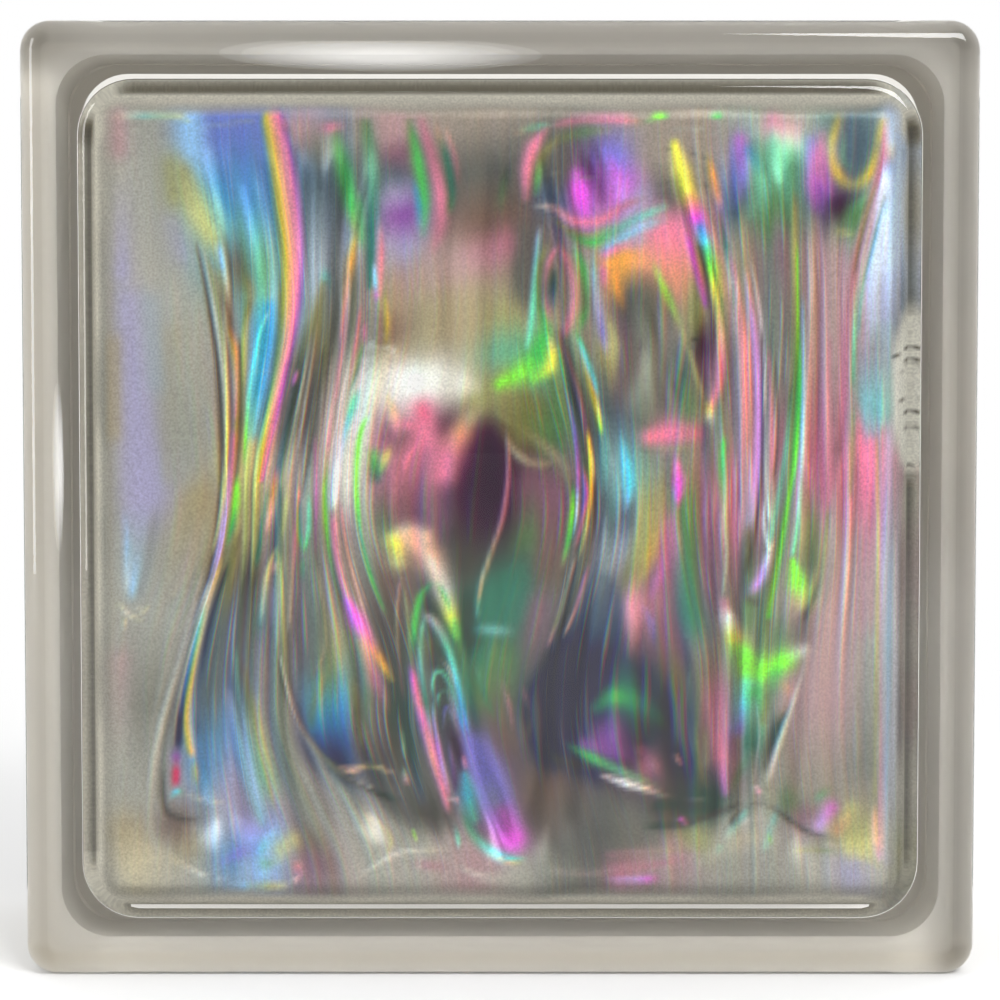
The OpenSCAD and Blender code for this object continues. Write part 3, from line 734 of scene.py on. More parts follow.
        ("832,120 826,148 832,172 848,184 864,172 872,146 876,122", "4 5.5 6 5 4",
         "gold straw gold khaki gold khaki gold", 0.8),
        ("840,130 838,158 850,172", "3 3.4 3", "jade jade moss", 0.5),
        ("844,214 862,196", "4", "moss jade", 0.6),
        ("828,228 850,234", "3", "khaki straw", 0.6),
        ("880,120 876,160 863,212 850,262 843,330 840,400 834,460", "2 4 5 5 4",
         "pink rose rose rose rose rose mauve", 0.85),
        ("872,178 858,228 848,280", "2 2.4 1.6", "khaki moss brown", 0.6),
        ("884,128 878,176 866,228 854,280 850,330 848,390", "1.4 2 2.4 2",
         "stone white blush stone mint jade", 0.8),
        ("889,130 882,180 870,232 858,284 852,340", "1.2 2 2", "smoke slate teal jade aqua", 0.7),
        ("868,350 864,395 868,430", "5 7 5", "ash aqua mist", 0.5),
        ("850,400 848,450 846,500", "2 3 2", "jade khaki moss", 0.6),
        ("866,440 864,480 856,540", "5 7 7", "pink pink blush", 0.7),
        ("874,430 875,540 874,700 873,800", "1.8 2.4 2", "khaki straw khaki khaki", 0.6),
        ("878,420 879,540 879,700 878,860", "1.4 2 1.8", "rose lilac pink pink", 0.75),
        ("882,480 883,640 882,800", "1.4 1.8 1.8", "teal teal smoke", 0.7),
        ("888,420 889,600 889,760 888,870", "3 4.4 4.4 3.4", "ice ice ice ice lavender", 0.95),
        ("896,430 897,600 896,850", "1.4 2 1.8", "ash stone ash", 0.5),
        ("898,124 891,165 886,210 882,262 878,312", "3.4 6 11 12 8", "ice ice ice ice lavender", 0.9),
        ("876,300 870,330 868,345", "6 5 3", "ice mist ash", 0.6),
        ("872,800 873,836 880,864", "2.4 3.4 3", "salmon peach lilac", 0.75),
        ("812,800 828,786", "4 4", "jade moss", 0.6),
        ("818,824 830,806", "7 7", "lilac orchid", 0.75),
        ("836,828 850,806", "6 6", "salmon straw", 0.6),
        ("846,846 860,828", "6 6", "straw khaki", 0.5),
        ("600,852 640,850 690,846", "2 3 2", "rose blush khaki", 0.55),
        ("610,868 660,862 704,850", "2 3 2", "blush rose stone", 0.5),
        ("604,880 634,879 658,876", "2.4 4 3.4", "lilac lilac magenta", 0.9),
        ("540,868 580,872 620,868", "3", "stone blush", 0.4),
        ("820,866 860,862 884,878", "2 2.4 2", "stone lavender stone", 0.5),
    ],
}


class Val:
    # wraps one node socket, so that sums of sockets are written as plain maths
    def __init__(self, tree, socket):
        self.tree = tree
        self.socket = socket

    def node(self, kind, settings=None, inputs=None, output=0):
        made = self.tree.nodes.new(kind)
        for name, value in (settings or {}).items():
            setattr(made, name, value)
        for key, value in (inputs or {}).items():
            if isinstance(value, Val):
                self.tree.links.new(value.socket, made.inputs[key])
            else:
                made.inputs[key].default_value = value
        return Val(self.tree, made.outputs[output])

    def math(self, operation, other=None):
        inputs = {0: self} if other is None else {0: self, 1: other}
        return self.node("ShaderNodeMath", {"operation": operation}, inputs)

    def __add__(self, other):
        return self.math("ADD", other)

    def __radd__(self, other):
        return self.math("ADD", other)

    def __sub__(self, other):
        return self.math("SUBTRACT", other)

    def __rsub__(self, other):
        return self.node("ShaderNodeMath", {"operation": "SUBTRACT"}, {0: other, 1: self})

    def __mul__(self, other):
        return self.math("MULTIPLY", other)

    def __rmul__(self, other):
        return self.math("MULTIPLY", other)

    def __truediv__(self, other):
        return self.math("DIVIDE", other)

    def __neg__(self):
        return self.math("MULTIPLY", -1.0)

    def smooth(self, low, high):
        # 0 at low, 1 at high, soft between
        return self.node("ShaderNodeMapRange", {"interpolation_type": "SMOOTHSTEP"},
                         {"Value": self, "From Min": low, "From Max": high})

    def out(self, name):
        return Val(self.tree, self.socket.node.outputs[name])


def roundedLoop(halfWidth, halfHeight, radius, steps):
    points = []
    for start, sx, sz in ((0, 1, 1), (90, -1, 1), (180, -1, -1), (270, 1, -1)):
        for i in range(steps + 1):
            angle = math.radians(start + 90 * i / steps)
            points.append((sx * (halfWidth - radius) + radius * math.cos(angle),
                           sz * (halfHeight - radius) + radius * math.sin(angle)))
    return points


def arcSteps(first, last, count):
    return [math.radians(first + (last - first) * i / count) for i in range(count + 1)]


def halfProfile():
    # (inset from the outer edge, distance from mid depth, corner radius) from seam to panel
    b = block
    borderAt = b["depth"] / 2 - b["panelRise"]
    backAt = borderAt - b["flangeDepth"]
    seam, depth = b["seamHeight"], b["channelDepth"]
    nudge = b["crease"]  # a close row beside each edge keeps the shading crisp there
    rows = [(depth - seam, 0.0, b["webCornerRadius"] + seam)]
    for t in arcSteps(0, 90, b["arcSteps"]["seam"]):
        inset = depth - seam * math.cos(t)
        rows.append((inset, b["seamWidth"] / 2 - seam + seam * math.sin(t),
                     b["webCornerRadius"] + depth - inset))
    rows.append((depth, b["seamWidth"] / 2 + nudge, b["webCornerRadius"]))
    rows.append((depth, backAt - nudge, b["webCornerRadius"]))
    rows.append((depth, backAt, b["webCornerRadius"]))
    r = b["flangeBackRadius"]
    rows.append((r + nudge, backAt, b["cornerRadius"] - r))
    for t in arcSteps(0, 90, b["arcSteps"]["flange"]):
        inset = r - r * math.sin(t)
        rows.append((inset, backAt + r - r * math.cos(t), b["cornerRadius"] - inset))
    r = b["edgeRadius"]
    for t in arcSteps(0, 90, b["arcSteps"]["edge"]):
        inset = r - r * math.cos(t)
        rows.append((inset, borderAt - r + r * math.sin(t), b["cornerRadius"] - inset))
    r = b["panelEdgeRadius"]
    lift = math.asin((r - b["panelRise"]) / r)
    side = r - r * math.cos(lift)
    rows.append((b["edgeRadius"] + nudge, borderAt, b["cornerRadius"] - b["edgeRadius"]))
    rows.append((b["borderWidth"] - 2 * nudge, borderAt, b["panelCornerRadius"] - side))
    for t in arcSteps(math.degrees(lift), 90, b["arcSteps"]["panel"]):
        inset = b["borderWidth"] - side + r - r * math.cos(t)
        rows.append((inset, borderAt + b["panelRise"] - r + r * math.sin(t),
                     b["panelCornerRadius"] - (inset - b["borderWidth"] + side)))
    last = rows[-1]
    rows.append((last[0] + nudge, last[1], last[2] - nudge))
    rows.append((last[0] + b["panelRing"], last[1], last[2] - b["panelRing"] / 2))
    return rows


def makeSkin():
    rows = halfProfile()
    rows = [(i, -d, r) for i, d, r in reversed(rows)] + rows[1:]  # back panel to front panel
    points, faces = [], []
    for inset, toFront, radius in rows:
        loop = roundedLoop(block["width"] / 2 - inset, block["height"] / 2 - inset, radius,
                           block["cornerSteps"])
        points += [(x, -toFront, z + block["height"] / 2) for x, z in loop]
    count = 4 * (block["cornerSteps"] + 1)
    for row in range(len(rows) - 1):
        for i in range(count):
            j = (i + 1) % count
            a, b = row * count + i, row * count + j
            faces.append((a, b, b + count, a + count))
    faces.append(tuple(reversed(range(count))))
    faces.append(tuple(range((len(rows) - 1) * count, len(rows) * count)))
    mesh = bpy.data.meshes.new("skin")
    mesh.from_pydata(points, [], faces)
    coatTo = block["depth"] / 2 - block["panelRise"] - block["edgeRadius"] + 1e-6
    for face in mesh.polygons:
        face.material_index = int(all(abs(points[v][1]) < coatTo for v in face.vertices))
    mesh.update()
    return mesh


def smoothPath(points):
    p = np.array(points, float)
    if len(p) == 2:
        return p
    ends = np.vstack([2 * p[0] - p[1], p, 2 * p[-1] - p[-2]])
    spans = len(p) - 1
    t = np.linspace(0, spans, 6 * spans + 1)  # six pieces to a span
    k = np.minimum(t.astype(int), len(p) - 2)
    f = (t - k)[:, None]
    a, b, c, d = ends[k], ends[k + 1], ends[k + 2], ends[k + 3]
    square, cube = 2 * a - 5 * b + 4 * c - d, 3 * b - a - 3 * c + d
    return 0.5 * (2 * b + (c - a) * f + square * f ** 2 + cube * f ** 3)


def alongValues(values, at):
    knots = np.linspace(0, 1, len(values))
    values = np.array(values, float)
    if len(values) == 1:
        return np.repeat(values, len(at), 0)
    if values.ndim == 1:
        return np.interp(at, knots, values)
    return np.stack([np.interp(at, knots, values[:, c]) for c in range(3)], 1)


def nearStreak(streak, x, y, reach):
    # points near a streak, their distance in half widths, place along it and side of it
    line = smoothPath([[float(n) for n in pair.split(",")] for pair in streak[0].split()])
    half = alongValues([float(w) for w in streak[1].split()], np.linspace(0, 1, len(line)))
    low, high = line.min(0) - half.max() * reach, line.max(0) + half.max() * reach
    near = np.where((x > low[0]) & (x < high[0]) & (y > low[1]) & (y < high[1]))[0]
    x, y = x[near], y[near]
    away, at, side = np.full(len(near), 1e9), np.zeros(len(near)), np.zeros(len(near))
    for k in range(len(line) - 1):
        (ax, ay), (bx, by) = line[k], line[k + 1]
        dx, dy = bx - ax, by - ay
        t = np.clip(((x - ax) * dx + (y - ay) * dy) / (dx * dx + dy * dy), 0, 1)
        h = half[k] * (1 - t) + half[k + 1] * t
        d = np.hypot(x - ax - t * dx, y - ay - t * dy) / h
        won = d < away
        away[won], at[won] = d[won], (k + t[won]) / (len(line) - 1)
        side[won] = ((y - ay) * dx - (x - ax) * dy)[won] / (h[won] * np.hypot(dx, dy))
    return near, away, at, side, half.mean(), np.hypot(*(line[1:] - line[:-1]).T).sum()


def layWashes(x, y):
    # an even mixture of the grounds nearby, then each ground laid softly over it
    reach = filmLook["washReach"]
    rows = [(row, nearStreak(row, x, y, reach)[:3]) for group in washes.values() for row in group]
    faint = 0.01  # plain grey, where no ground is near
    colour = np.tile(np.array(palette["grey"], float), (len(x), 1)) * faint
    total = np.full(len(x), faint)
    for row, (near, away, at) in rows:
        weight = row[3] ** 2 * np.clip((reach - away) / (reach / 2), 0, 1) / (away ** 2 + 0.6) ** 1.5
        total[near] += weight
        colour[near] += alongValues([palette[n] for n in row[2].split()], at) * weight[:, None]
    colour /= total[:, None]
    for row, (near, away, at) in rows:
        cover = (filmLook["washCover"] * row[3] * np.exp(-filmLook["softness"] * away ** 2))[:, None]
        colour[near] *= 1 - cover
        colour[near] += alongValues([palette[n] for n in row[2].split()], at) * cover
    return colour


def layLines(ground, x, y):
    # each streak is soft at its sides, and the thin ones fade out at their ends
    colour = ground.copy()
    for streak in (row for group in streaks.values() for row in group):
        near, away, at, side, half, length = nearStreak(streak, x, y, filmLook["lineReach"])
        run = min(0.35, filmLook["endFade"] / length)
        ends = np.clip(at / run, 0, 1) * np.clip((1 - at) / run, 0, 1)
        ends = 1 - (1 - ends) * np.clip((7.0 - half) / 4.0, 0, 1)
        if streak[-1] == "across":
            at = 0.5 - 0.5 * np.clip(side, -1, 1)
            cover = np.clip((1.0 - away) / 0.45, 0, 1) * ends
        else:
            cover = np.exp(-filmLook["softness"] * away ** 2) * ends
        cover = (cover * streak[3])[:, None]
        colour[near] *= 1 - cover
        colour[near] += alongValues([palette[n] for n in streak[2].split()], at) * cover
    return colour


def ripples(name, across, down):
    # smooth noise, stretched along the streaks
    seed, low, high, slant = filmLook["ripples"][name]
    random = np.random.default_rng(filmLook["seed"] * 100 + seed)
    total = np.zeros_like(across)
    for k in range(9):
        pitch = low + (high - low) * random.random()
        lean = slant * (random.random() * 2 - 1)
        total += np.sin(2 * math.pi * (pitch * across + lean * down + random.random())) / 3
    return total


def filmPlace(px, pz):
    x = px / filmLook["unit"][0] + filmLook["middle"][0]
    y = (block["height"] / 2 - pz) / filmLook["unit"][1] + filmLook["middle"][1]
    return x, y


def rimGap(px, pz):
    # distance from the rounded outline of the cavity
    corner = cavity["cornerRadius"]
    reach = block["width"] / 2 - block["channelDepth"] - cavity["wallThickness"] - corner
    dx, dz = abs(px) - reach, abs(pz - block["height"] / 2) - reach
    return corner - np.hypot(dx.clip(0), dz.clip(0)) - np.minimum(np.maximum(dx, dz), 0)


def guideLines(down):
    # where each guide runs at a share of the way down
    part = np.clip(down, 0, 1) * 4
    knot = np.minimum(part.astype(int), 3)
    blend = (1 - np.cos(math.pi * (part - knot))) / 2
    knots = [np.array(guide, float) for guide, life in guides]
    return [g[knot] * (1 - blend) + g[knot + 1] * blend for g in knots]


def followGuides(x, z, half, share):
    # moves grid columns towards the guides, so that the fine streaks get the most points
    px, py = filmPlace(x, z)
    rails = np.array(guideLines((py - filmLook["guideTop"]) / filmLook["guideRun"]))
    inside = np.clip((x / half + 1) / 2, 0, 1)
    low, high = (filmPlace(side * half, 0)[0] for side in (-1, 1))
    moved = np.empty_like(x)
    for k in range(len(x)):
        rail = np.clip(rails[:, k], low, high)
        moved[k] = np.interp(inside[k] * (len(rail) - 1), range(len(rail)), rail)
    moved = (moved - filmLook["middle"][0]) * filmLook["unit"][0]
    return np.where(abs(x) <= half, x * (1 - share) + moved * share, x)


def flowPlace(x, y):
    # place among the guides: how many lie to the left, and the share of the way down
    down = (y - filmLook["guideTop"]) / filmLook["guideRun"]
    rails = guideLines(down)
    return sum(np.clip((x - a) / (b - a), 0, 1) for a, b in zip(rails, rails[1:])), down


def flowBack(across, down):
    # the way back from a place among the guides to pixels
    rails = np.array(guideLines(down))
    across = np.clip(across, 0, len(guides) - 1)
    k, each = np.minimum(across.astype(int), len(guides) - 2), np.arange(len(across))
    x = rails[k, each] + (across - k) * (rails[k + 1, each] - rails[k, each])
    return x, filmLook["guideTop"] + filmLook["guideRun"] * down


def filmLife(x, y, across, down):
    # how lively the fine streaks are
    life = np.interp(across, range(len(guides)), [life for guide, life in guides])
    life *= np.interp(down, *zip(*filmLook["lifeDown"]))
    for middleX, middleY, wide, high in filmLook["calm"]:
        near = np.exp(-((x - middleX) / wide) ** 2 - ((y - middleY) / high) ** 2)
        life *= 1 - filmLook["calmShare"] * near
    return life


def bareRim(x, y, edge):
    # share of the bare lip round the film and of the painted reflection patch in it, and the shift of the
    # rim's painted shade and highlight
    lipLook, shift, strips = (filmLook[name] for name in ("lip", "rimShift", "strips"))
    atTop = np.clip((strips["top"] - y) / strips["blend"], 0, 1)
    atBottom = np.clip((y - strips["bottom"]) / strips["blend"], 0, 1)
    atRight = np.clip((x - strips["right"]) / strips["blend"], 0, 1)
    wobble = 2.5 * np.sin(x / 31 + np.sin(y / 47)) + 2.0 * np.sin(y / 23 + 1.3 * np.sin(x / 37))
    lip = lipLook["all"] + lipLook["top"] * atTop + lipLook["right"] * atRight
    lip = np.clip((lip + wobble - edge) / lipLook["fade"], 0, 1)
    reflectionX, reflectionY, reflectionWide, reflectionHigh = filmLook["reflectionPatch"]
    reflectionPatch = np.clip(3 - 3 * ((x - reflectionX) / reflectionWide) ** 2 - 3 * ((y - reflectionY) / reflectionHigh) ** 2, 0, 1)
    return np.maximum(lip, reflectionPatch), reflectionPatch, shift["bottom"] * atBottom + shift["top"] * atTop


def pitMarks(x, y):
    # small dark pits in the painted reflection patch
    return np.clip(np.sin(x / 2.3 + 2 * np.sin(y / 7)) * np.sin(y / 4.1 + np.sin(x / 5)) - 0.72, 0, 0.2) * 5


def comeIn(room, ends):
    return np.clip((room - ends[0]) / (ends[1] - ends[0]), 0, 1)


def toLinear(colour):
    # tints as they are written to the light that they stand for
    return np.where(colour < 0.04, colour / 12.92, ((colour.clip(0, 1) + 0.055) / 1.055) ** 2.4)


def paintFilm(px, pz):
    look, fringe = filmLook, filmLook["fringe"]
    x, y = filmPlace(px, pz)
    across, down = flowPlace(x, y)
    life = filmLife(x, y, across, down)
    slide = ripples("slide", across, down) * look["slide"] * life
    sway = ripples("sway", across, down) * look["sway"] * life
    pulls = [look["pull"] * (0.25 + life) * k for k in look["pullSteps"]]
    ground = sum(layWashes(*flowBack(across + sway, down + slide + pull)) for pull in pulls) / len(pulls)
    bend = ripples("bend", across, down) * life
    patch = np.clip(ripples("patch", across, down) * 0.8 + 0.5, 0, 1)
    room = flowBack(across + 0.5, down)[0] - flowBack(across - 0.5, down)[0]
    fine = comeIn(room, look["fineRoom"])
    edge = rimGap(px, pz) / look["unit"][0]
    lip, reflectionPatch, rimShift = bareRim(x, y, edge)
    pits = pitMarks(x, y)
    rimAt, rimShadeAndHighlight = zip(*look["rim"])
    channels = []
    for c, side in enumerate((-1, 0, 1)):  # red, green and blue part a little, as in a prism
        part = side * look["dispersion"]
        tone = layLines(ground, x + bend * (1 + part) + fringe["lines"] * part, y)[:, c]
        ridge = ripples("ridge", across + fringe["ridges"] * part, down)
        thin = ripples("thin", across + fringe["ridges"] * part, down) * fine
        sheen = ripples("sheen", across + fringe["sheen"] * side, down)
        streaky = patch * look["streakContrast"] * (ridge + look["thinShare"] * thin)
        tone *= 1 + life * streaky + life * look["sheen"] * sheen
        # painted highlights on the brightest crests of the streaks
        tone += life * patch * look["crestHighlight"] * np.clip(ridge - 1.1, 0, 1.5) * np.clip(thin + 0.8, 0, 1.4)
        # painted shade and highlight round the film's edge
        rim = np.interp(edge + rimShift, rimAt, [tint[c] for tint in rimShadeAndHighlight])
        tone = tone * (1 - lip) + rim * lip
        # painted lamp reflection at the right: cream, with dark pits
        tone = tone * (1 - reflectionPatch) + (palette["cream"][c] - look["pitDepth"] * pits) * reflectionPatch
        channels.append(np.clip(tone, 0, 255) / 255)
    colour = np.stack(channels, 1)
    colour = colour * look["vivid"] + colour.mean(1, keepdims=True) * (1 - look["vivid"])
    colour = toLinear(colour) - look["veil"]
    colour = (colour * look["brightness"] * np.array(look["balance"])).clip(0.004, 1)
    hairs = life * (1 - lip) * comeIn(room, look["hairRoom"])
    return np.concatenate([colour, 1 - lip[:, None]], 1), np.stack([across, down, hairs], 1)


def gridLines(half, cells):
    edge, steps = cavity["edgeRadius"], cavity["cellsEdge"]
    rim = [half - edge * (1 - math.cos(math.pi / 2 * i / steps)) for i in range(steps)]
    inner = [(half - edge) * (2 * i / cells - 1) for i in range(cells + 1)]
    return np.array([-a for a in rim] + inner + rim[::-1])


def cavityFace(halfX, halfZ, cellsAcross, cellsUp, columnShare):
    # one flat face with rounded edges and corners; the waves come from the node tree
    xs, zs = gridLines(halfX, cellsAcross), gridLines(halfZ, cellsUp)
    x, z = (g.ravel() for g in np.meshgrid(xs, zs))
    x = followGuides(x, z + block["height"] / 2, halfX - cavity["edgeRadius"], columnShare)
    gap = np.minimum(halfX - abs(x), halfZ - abs(z)).clip(0)
    edge, corner = cavity["edgeRadius"], cavity["cornerRadius"]
    drop = np.where(gap < edge, edge - np.sqrt(edge ** 2 - (edge - gap).clip(0) ** 2), 0)
    dx, dz = abs(x) - (halfX - corner), abs(z) - (halfZ - corner)
    inCorner = (dx > 0) & (dz > 0)
    big, small = np.maximum(dx, dz), np.minimum(dx, dz)
    turn = np.pi / 4 * np.divide(small, big, out=np.zeros_like(big), where=inCorner)
    longSide, shortSide = big * np.cos(turn), big * np.sin(turn)
    newX = np.where(dx >= dz, longSide, shortSide) + halfX - corner
    newZ = np.where(dx >= dz, shortSide, longSide) + halfZ - corner
    nx, nz = len(xs), len(zs)
    i, j = (g.ravel() for g in np.meshgrid(np.arange(nx - 1), np.arange(nz - 1)))
    first = j * nx + i
    rim = list(range(nx - 1)) + [k * nx + nx - 1 for k in range(nz - 1)]
    rim += [(nz - 1) * nx + k for k in range(nx - 1, 0, -1)] + [k * nx for k in range(nz - 1, 0, -1)]
    shareX, shareZ = (xs[:-1] / halfX + 1) / 2, (zs[:-1] / halfZ + 1) / 2
    return {
        "x": np.where(inCorner, np.sign(x) * newX, x),
        "z": np.where(inCorner, np.sign(z) * newZ, z) + block["height"] / 2,
        "depth": block["depth"] / 2 - cavity["faceThickness"] - drop,
        "across": x / halfX,
        "up": z / halfZ,
        "room": gap - edge,
        "faces": np.stack([first, first + nx, first + nx + 1, first + 1], 1),
        "rim": rim,
        "rimShare": np.concatenate([shareX, shareZ + 1, shareX + 2, shareZ + 3, [4]]),
    }


def zipRims(front, back, offset):
    # triangles between two rims that have different numbers of points
    faces, i, j = [], 0, 0
    while i < len(front["rim"]) or j < len(back["rim"]):
        a = front["rim"][i % len(front["rim"])]
        b = back["rim"][j % len(back["rim"])] + offset
        onFront = j == len(back["rim"])
        if not onFront and i < len(front["rim"]):
            onFront = front["rimShare"][i + 1] <= back["rimShare"][j + 1]
        if onFront:
            i += 1
            faces.append((a, front["rim"][i % len(front["rim"])], b))
        else:
            j += 1
            faces.append((a, back["rim"][j % len(back["rim"])] + offset, b))
    return faces


def makeCavity():
    halfX = block["width"] / 2 - block["channelDepth"] - cavity["wallThickness"]
    halfZ = block["height"] / 2 - block["channelDepth"] - cavity["wallThickness"]
    front = cavityFace(halfX, halfZ, *cavity["frontCells"], cavity["columnShare"])
    back = cavityFace(halfX, halfZ, *cavity["backCells"], 0.0)
    count, backCount = len(front["x"]), len(back["x"])
    points = np.concatenate([np.stack([front["x"], -front["depth"], front["z"]], 1),
                             np.stack([back["x"], back["depth"], back["z"]], 1)])
    faces = front["faces"].tolist() + (back["faces"][:, ::-1] + count).tolist()
    faces += zipRims(front, back, count)
    mesh = bpy.data.meshes.new("cavity")
    mesh.from_pydata(points.tolist(), [], faces)
    values = {
        "across": np.concatenate([front["across"], -back["across"]]),
        "up": np.concatenate([front["up"], back["up"]]),
        "room": np.concatenate([front["room"], back["room"]]),
        "push": np.repeat([1.0, -1.0], [count, backCount]),
    }
    for name, data in values.items():
        mesh.attributes.new(name, "FLOAT", "POINT").data.foreach_set("value", data)
    film = np.arange(len(faces)) < len(front["faces"])
    mesh.attributes.new("film", "BOOLEAN", "FACE").data.foreach_set("value", film)
    tint, flow = np.ones((count + backCount, 4)), np.zeros((count + backCount, 3))
    tint[:count], flow[:count] = paintFilm(front["x"], front["z"])
    mesh.attributes.new("flow", "FLOAT_VECTOR", "POINT").data.foreach_set("vector", flow.ravel())
    mesh.attributes.new("tint", "FLOAT_COLOR", "POINT").data.foreach_set("color", tint.ravel())
    mesh.update()
    print("film painted", count, "points")
    return mesh


def groupSocket(tree, name, kind, way="INPUT"):
    return tree.interface.new_socket(name, in_out=way, socket_type=kind)


def foldGroup():
    # height of one fold; the five shares say how near a point is to each of the five heights
    tree = bpy.data.node_groups.new("fold", "GeometryNodeTree")
    names = ["Across", "Up", "Steepness", "Start", "End"]
    names += [f"{word} {k}" for word in ("Share", "Middle", "Width") for k in range(1, 6)]
    for name in names:
        groupSocket(tree, name, "NodeSocketFloat")
    groupSocket(tree, "Relief", "NodeSocketFloat", "OUTPUT")
    source = tree.nodes.new("NodeGroupInput")
    get = {name: Val(tree, source.outputs[name]) for name in names}
    middle, width = (sum(get[f"{word} {k}"] * get[f"Share {k}"] for k in range(1, 6))
                     for word in ("Middle", "Width"))
    off = ((get["Across"] - middle) / width).math("ABSOLUTE").math("MINIMUM", 1.0)
    swell = ((off * math.pi).math("COSINE") + 1.0) * 0.5 * width * get["Steepness"]
    v = get["Up"]
    fade = cavity["foldEnd"]
    ends = ((v - get["Start"]) / fade).smooth(0.0, 1.0) * ((get["End"] - v) / fade).smooth(0.0, 1.0)
    sink = tree.nodes.new("NodeGroupOutput")
    tree.links.new((swell * ends).socket, sink.inputs["Relief"])
    return tree


def waveTree(glass, film, halfWidth):
    tree = bpy.data.node_groups.new("waves", "GeometryNodeTree")
    groupSocket(tree, "Geometry", "NodeSocketGeometry")
    groupSocket(tree, "Fold Share", "NodeSocketFloat")
    groupSocket(tree, "Calm Width", "NodeSocketFloat")
    groupSocket(tree, "Geometry", "NodeSocketGeometry", "OUTPUT")
    source = tree.nodes.new("NodeGroupInput")
    geometry = Val(tree, source.outputs["Geometry"])

    def attribute(name, kind="FLOAT"):
        return geometry.node("GeometryNodeInputNamedAttribute", {"data_type": kind}, {"Name": name})

    across, up, room, push = (attribute(name) for name in ("across", "up", "room", "push"))
    shares = {}
    for k in range(5):
        away = ((up - (1.0 - 0.5 * k)) * 2.0).math("ABSOLUTE").math("MINIMUM", 1.0)
        shares[f"Share {k + 1}"] = ((away * math.pi).math("COSINE") + 1.0) * 0.5
    single = foldGroup()
    total = None
    for middles, widths, steepness, start, end in folds:
        values = {f"Middle {k + 1}": middles[k] for k in range(5)}
        values.update({f"Width {k + 1}": widths[k] for k in range(5)})
        values.update(shares)
        values.update({"Across": across, "Up": up, "Steepness": steepness, "Start": start, "End": end})
        one = geometry.node("GeometryNodeGroup", {"node_tree": single}, values)
        total = one if total is None else total + one
    calm = (room / Val(tree, source.outputs["Calm Width"])).smooth(0.0, 1.0)
    relief = total * calm * Val(tree, source.outputs["Fold Share"]) * halfWidth
    offset = geometry.node("ShaderNodeCombineXYZ", None, {"Y": relief * push})
    moved = geometry.node("GeometryNodeSetPosition", None, {"Geometry": geometry, "Offset": offset})
    whole = geometry.node("GeometryNodeRealizeInstances", None, {"Geometry": moved})
    clear = geometry.node("GeometryNodeSetMaterial", None, {"Geometry": whole, "Material": glass})
    coated = geometry.node("GeometryNodeSetMaterial", None,
                           {"Geometry": clear, "Selection": attribute("film", "BOOLEAN"), "Material": film})
    sink = tree.nodes.new("NodeGroupOutput")
    tree.links.new(coated.socket, sink.inputs["Geometry"])
    return tree


def newMaterial(name):
    material = bpy.data.materials.new(name)
    material.use_nodes = True
    tree = material.node_tree
    shader = tree.nodes["Principled BSDF"]
    place = Val(tree, tree.nodes.new("ShaderNodeTexCoord").outputs["Object"])
    return material, tree, shader, place


# pressed glass: clear, a little warm in depth
glassLook = {
    "ior": 1.5,
    "absorbColour": (0.66, 0.54, 0.28),
    "density": 3.0,
}


def makeGlass():
    material, tree, shader, place = newMaterial("clearGlass")
    shader.inputs["Base Color"].default_value = (1.0, 1.0, 1.0, 1.0)
    shader.inputs["Roughness"].default_value = 0.0
    shader.inputs["IOR"].default_value = glassLook["ior"]
    shader.inputs["Transmission Weight"].default_value = 1.0
    absorb = tree.nodes.new("ShaderNodeVolumeAbsorption")
    absorb.inputs["Color"].default_value = (*glassLook["absorbColour"], 1.0)
    absorb.inputs["Density"].default_value = glassLook["density"]
    tree.links.new(absorb.outputs[0], tree.nodes["Material Output"].inputs["Volume"])
    return material


# matt bonding coat: plain on its outer side; the side on the glass is pale in the channel, and on the four
# flanges carries painted light and shade, lightest at the bottom, then the left, darkest at the right and top
coat = {
    "outerDark": (0.45, 0.43, 0.38),
    "outerLight": (0.55, 0.53, 0.475),
    # painted lit and shaded tints of the flanges, seen through the glass
    "light": (0.90, 0.84, 0.72),
    "grey": (0.31, 0.288, 0.244),
    "channel": (0.95, 0.92, 0.85),
    # painted light: how far each flange goes towards the lit tint
    "shares": {"left": 0.52, "right": 0.03, "bottom": 1.0, "top": 0.0},
    "roughness": 0.8,
    "cloudScale": 60.0,
    "cloudShare": 0.25,
    "cornerBlend": 0.009,
    "channelEdge": (0.0245, 0.0235),
}


def makeCoat():
    material, tree, shader, place = newMaterial("edgeCoat")
    cloud = place.node("ShaderNodeTexNoise", None,
                       {"Vector": place, "Scale": coat["cloudScale"], "Detail": 2.0})
    parts = place.node("ShaderNodeSeparateXYZ", None, {0: place})
    x, y, z = parts.out("X"), parts.out("Y"), parts.out("Z") - block["height"] / 2
    reaches = {"left": -x - z.math("ABSOLUTE"), "right": x - z.math("ABSOLUTE"),
               "bottom": -z - x.math("ABSOLUTE"), "top": z - x.math("ABSOLUTE")}
    # painted light and shade, flange by flange, over a random cloudy tone
    shade = (cloud - 0.5) * coat["cloudShare"]
    for side, reach in reaches.items():
        shade = shade + reach.smooth(-coat["cornerBlend"], coat["cornerBlend"]) * coat["shares"][side]

    def mixed(factor, first, second):
        return place.node("ShaderNodeMix", {"data_type": "RGBA"}, {0: factor, 6: first, 7: second}, 2)

    flange = mixed(shade, (*coat["grey"], 1.0), (*coat["light"], 1.0))
    inChannel = y.math("ABSOLUTE").smooth(*coat["channelEdge"])
    inner = mixed(inChannel, flange, (*coat["channel"], 1.0))  # seen through the glass
    outer = mixed(cloud, (*coat["outerDark"], 1.0), (*coat["outerLight"], 1.0))
    onGlass = place.node("ShaderNodeNewGeometry", None, None, "Backfacing")
    colour = mixed(onGlass, outer, inner)
    tree.links.new(colour.socket, shader.inputs["Base Color"])
    shader.inputs["Roughness"].default_value = coat["roughness"]
    shader.inputs["Specular IOR Level"].default_value = 0.0
    return material


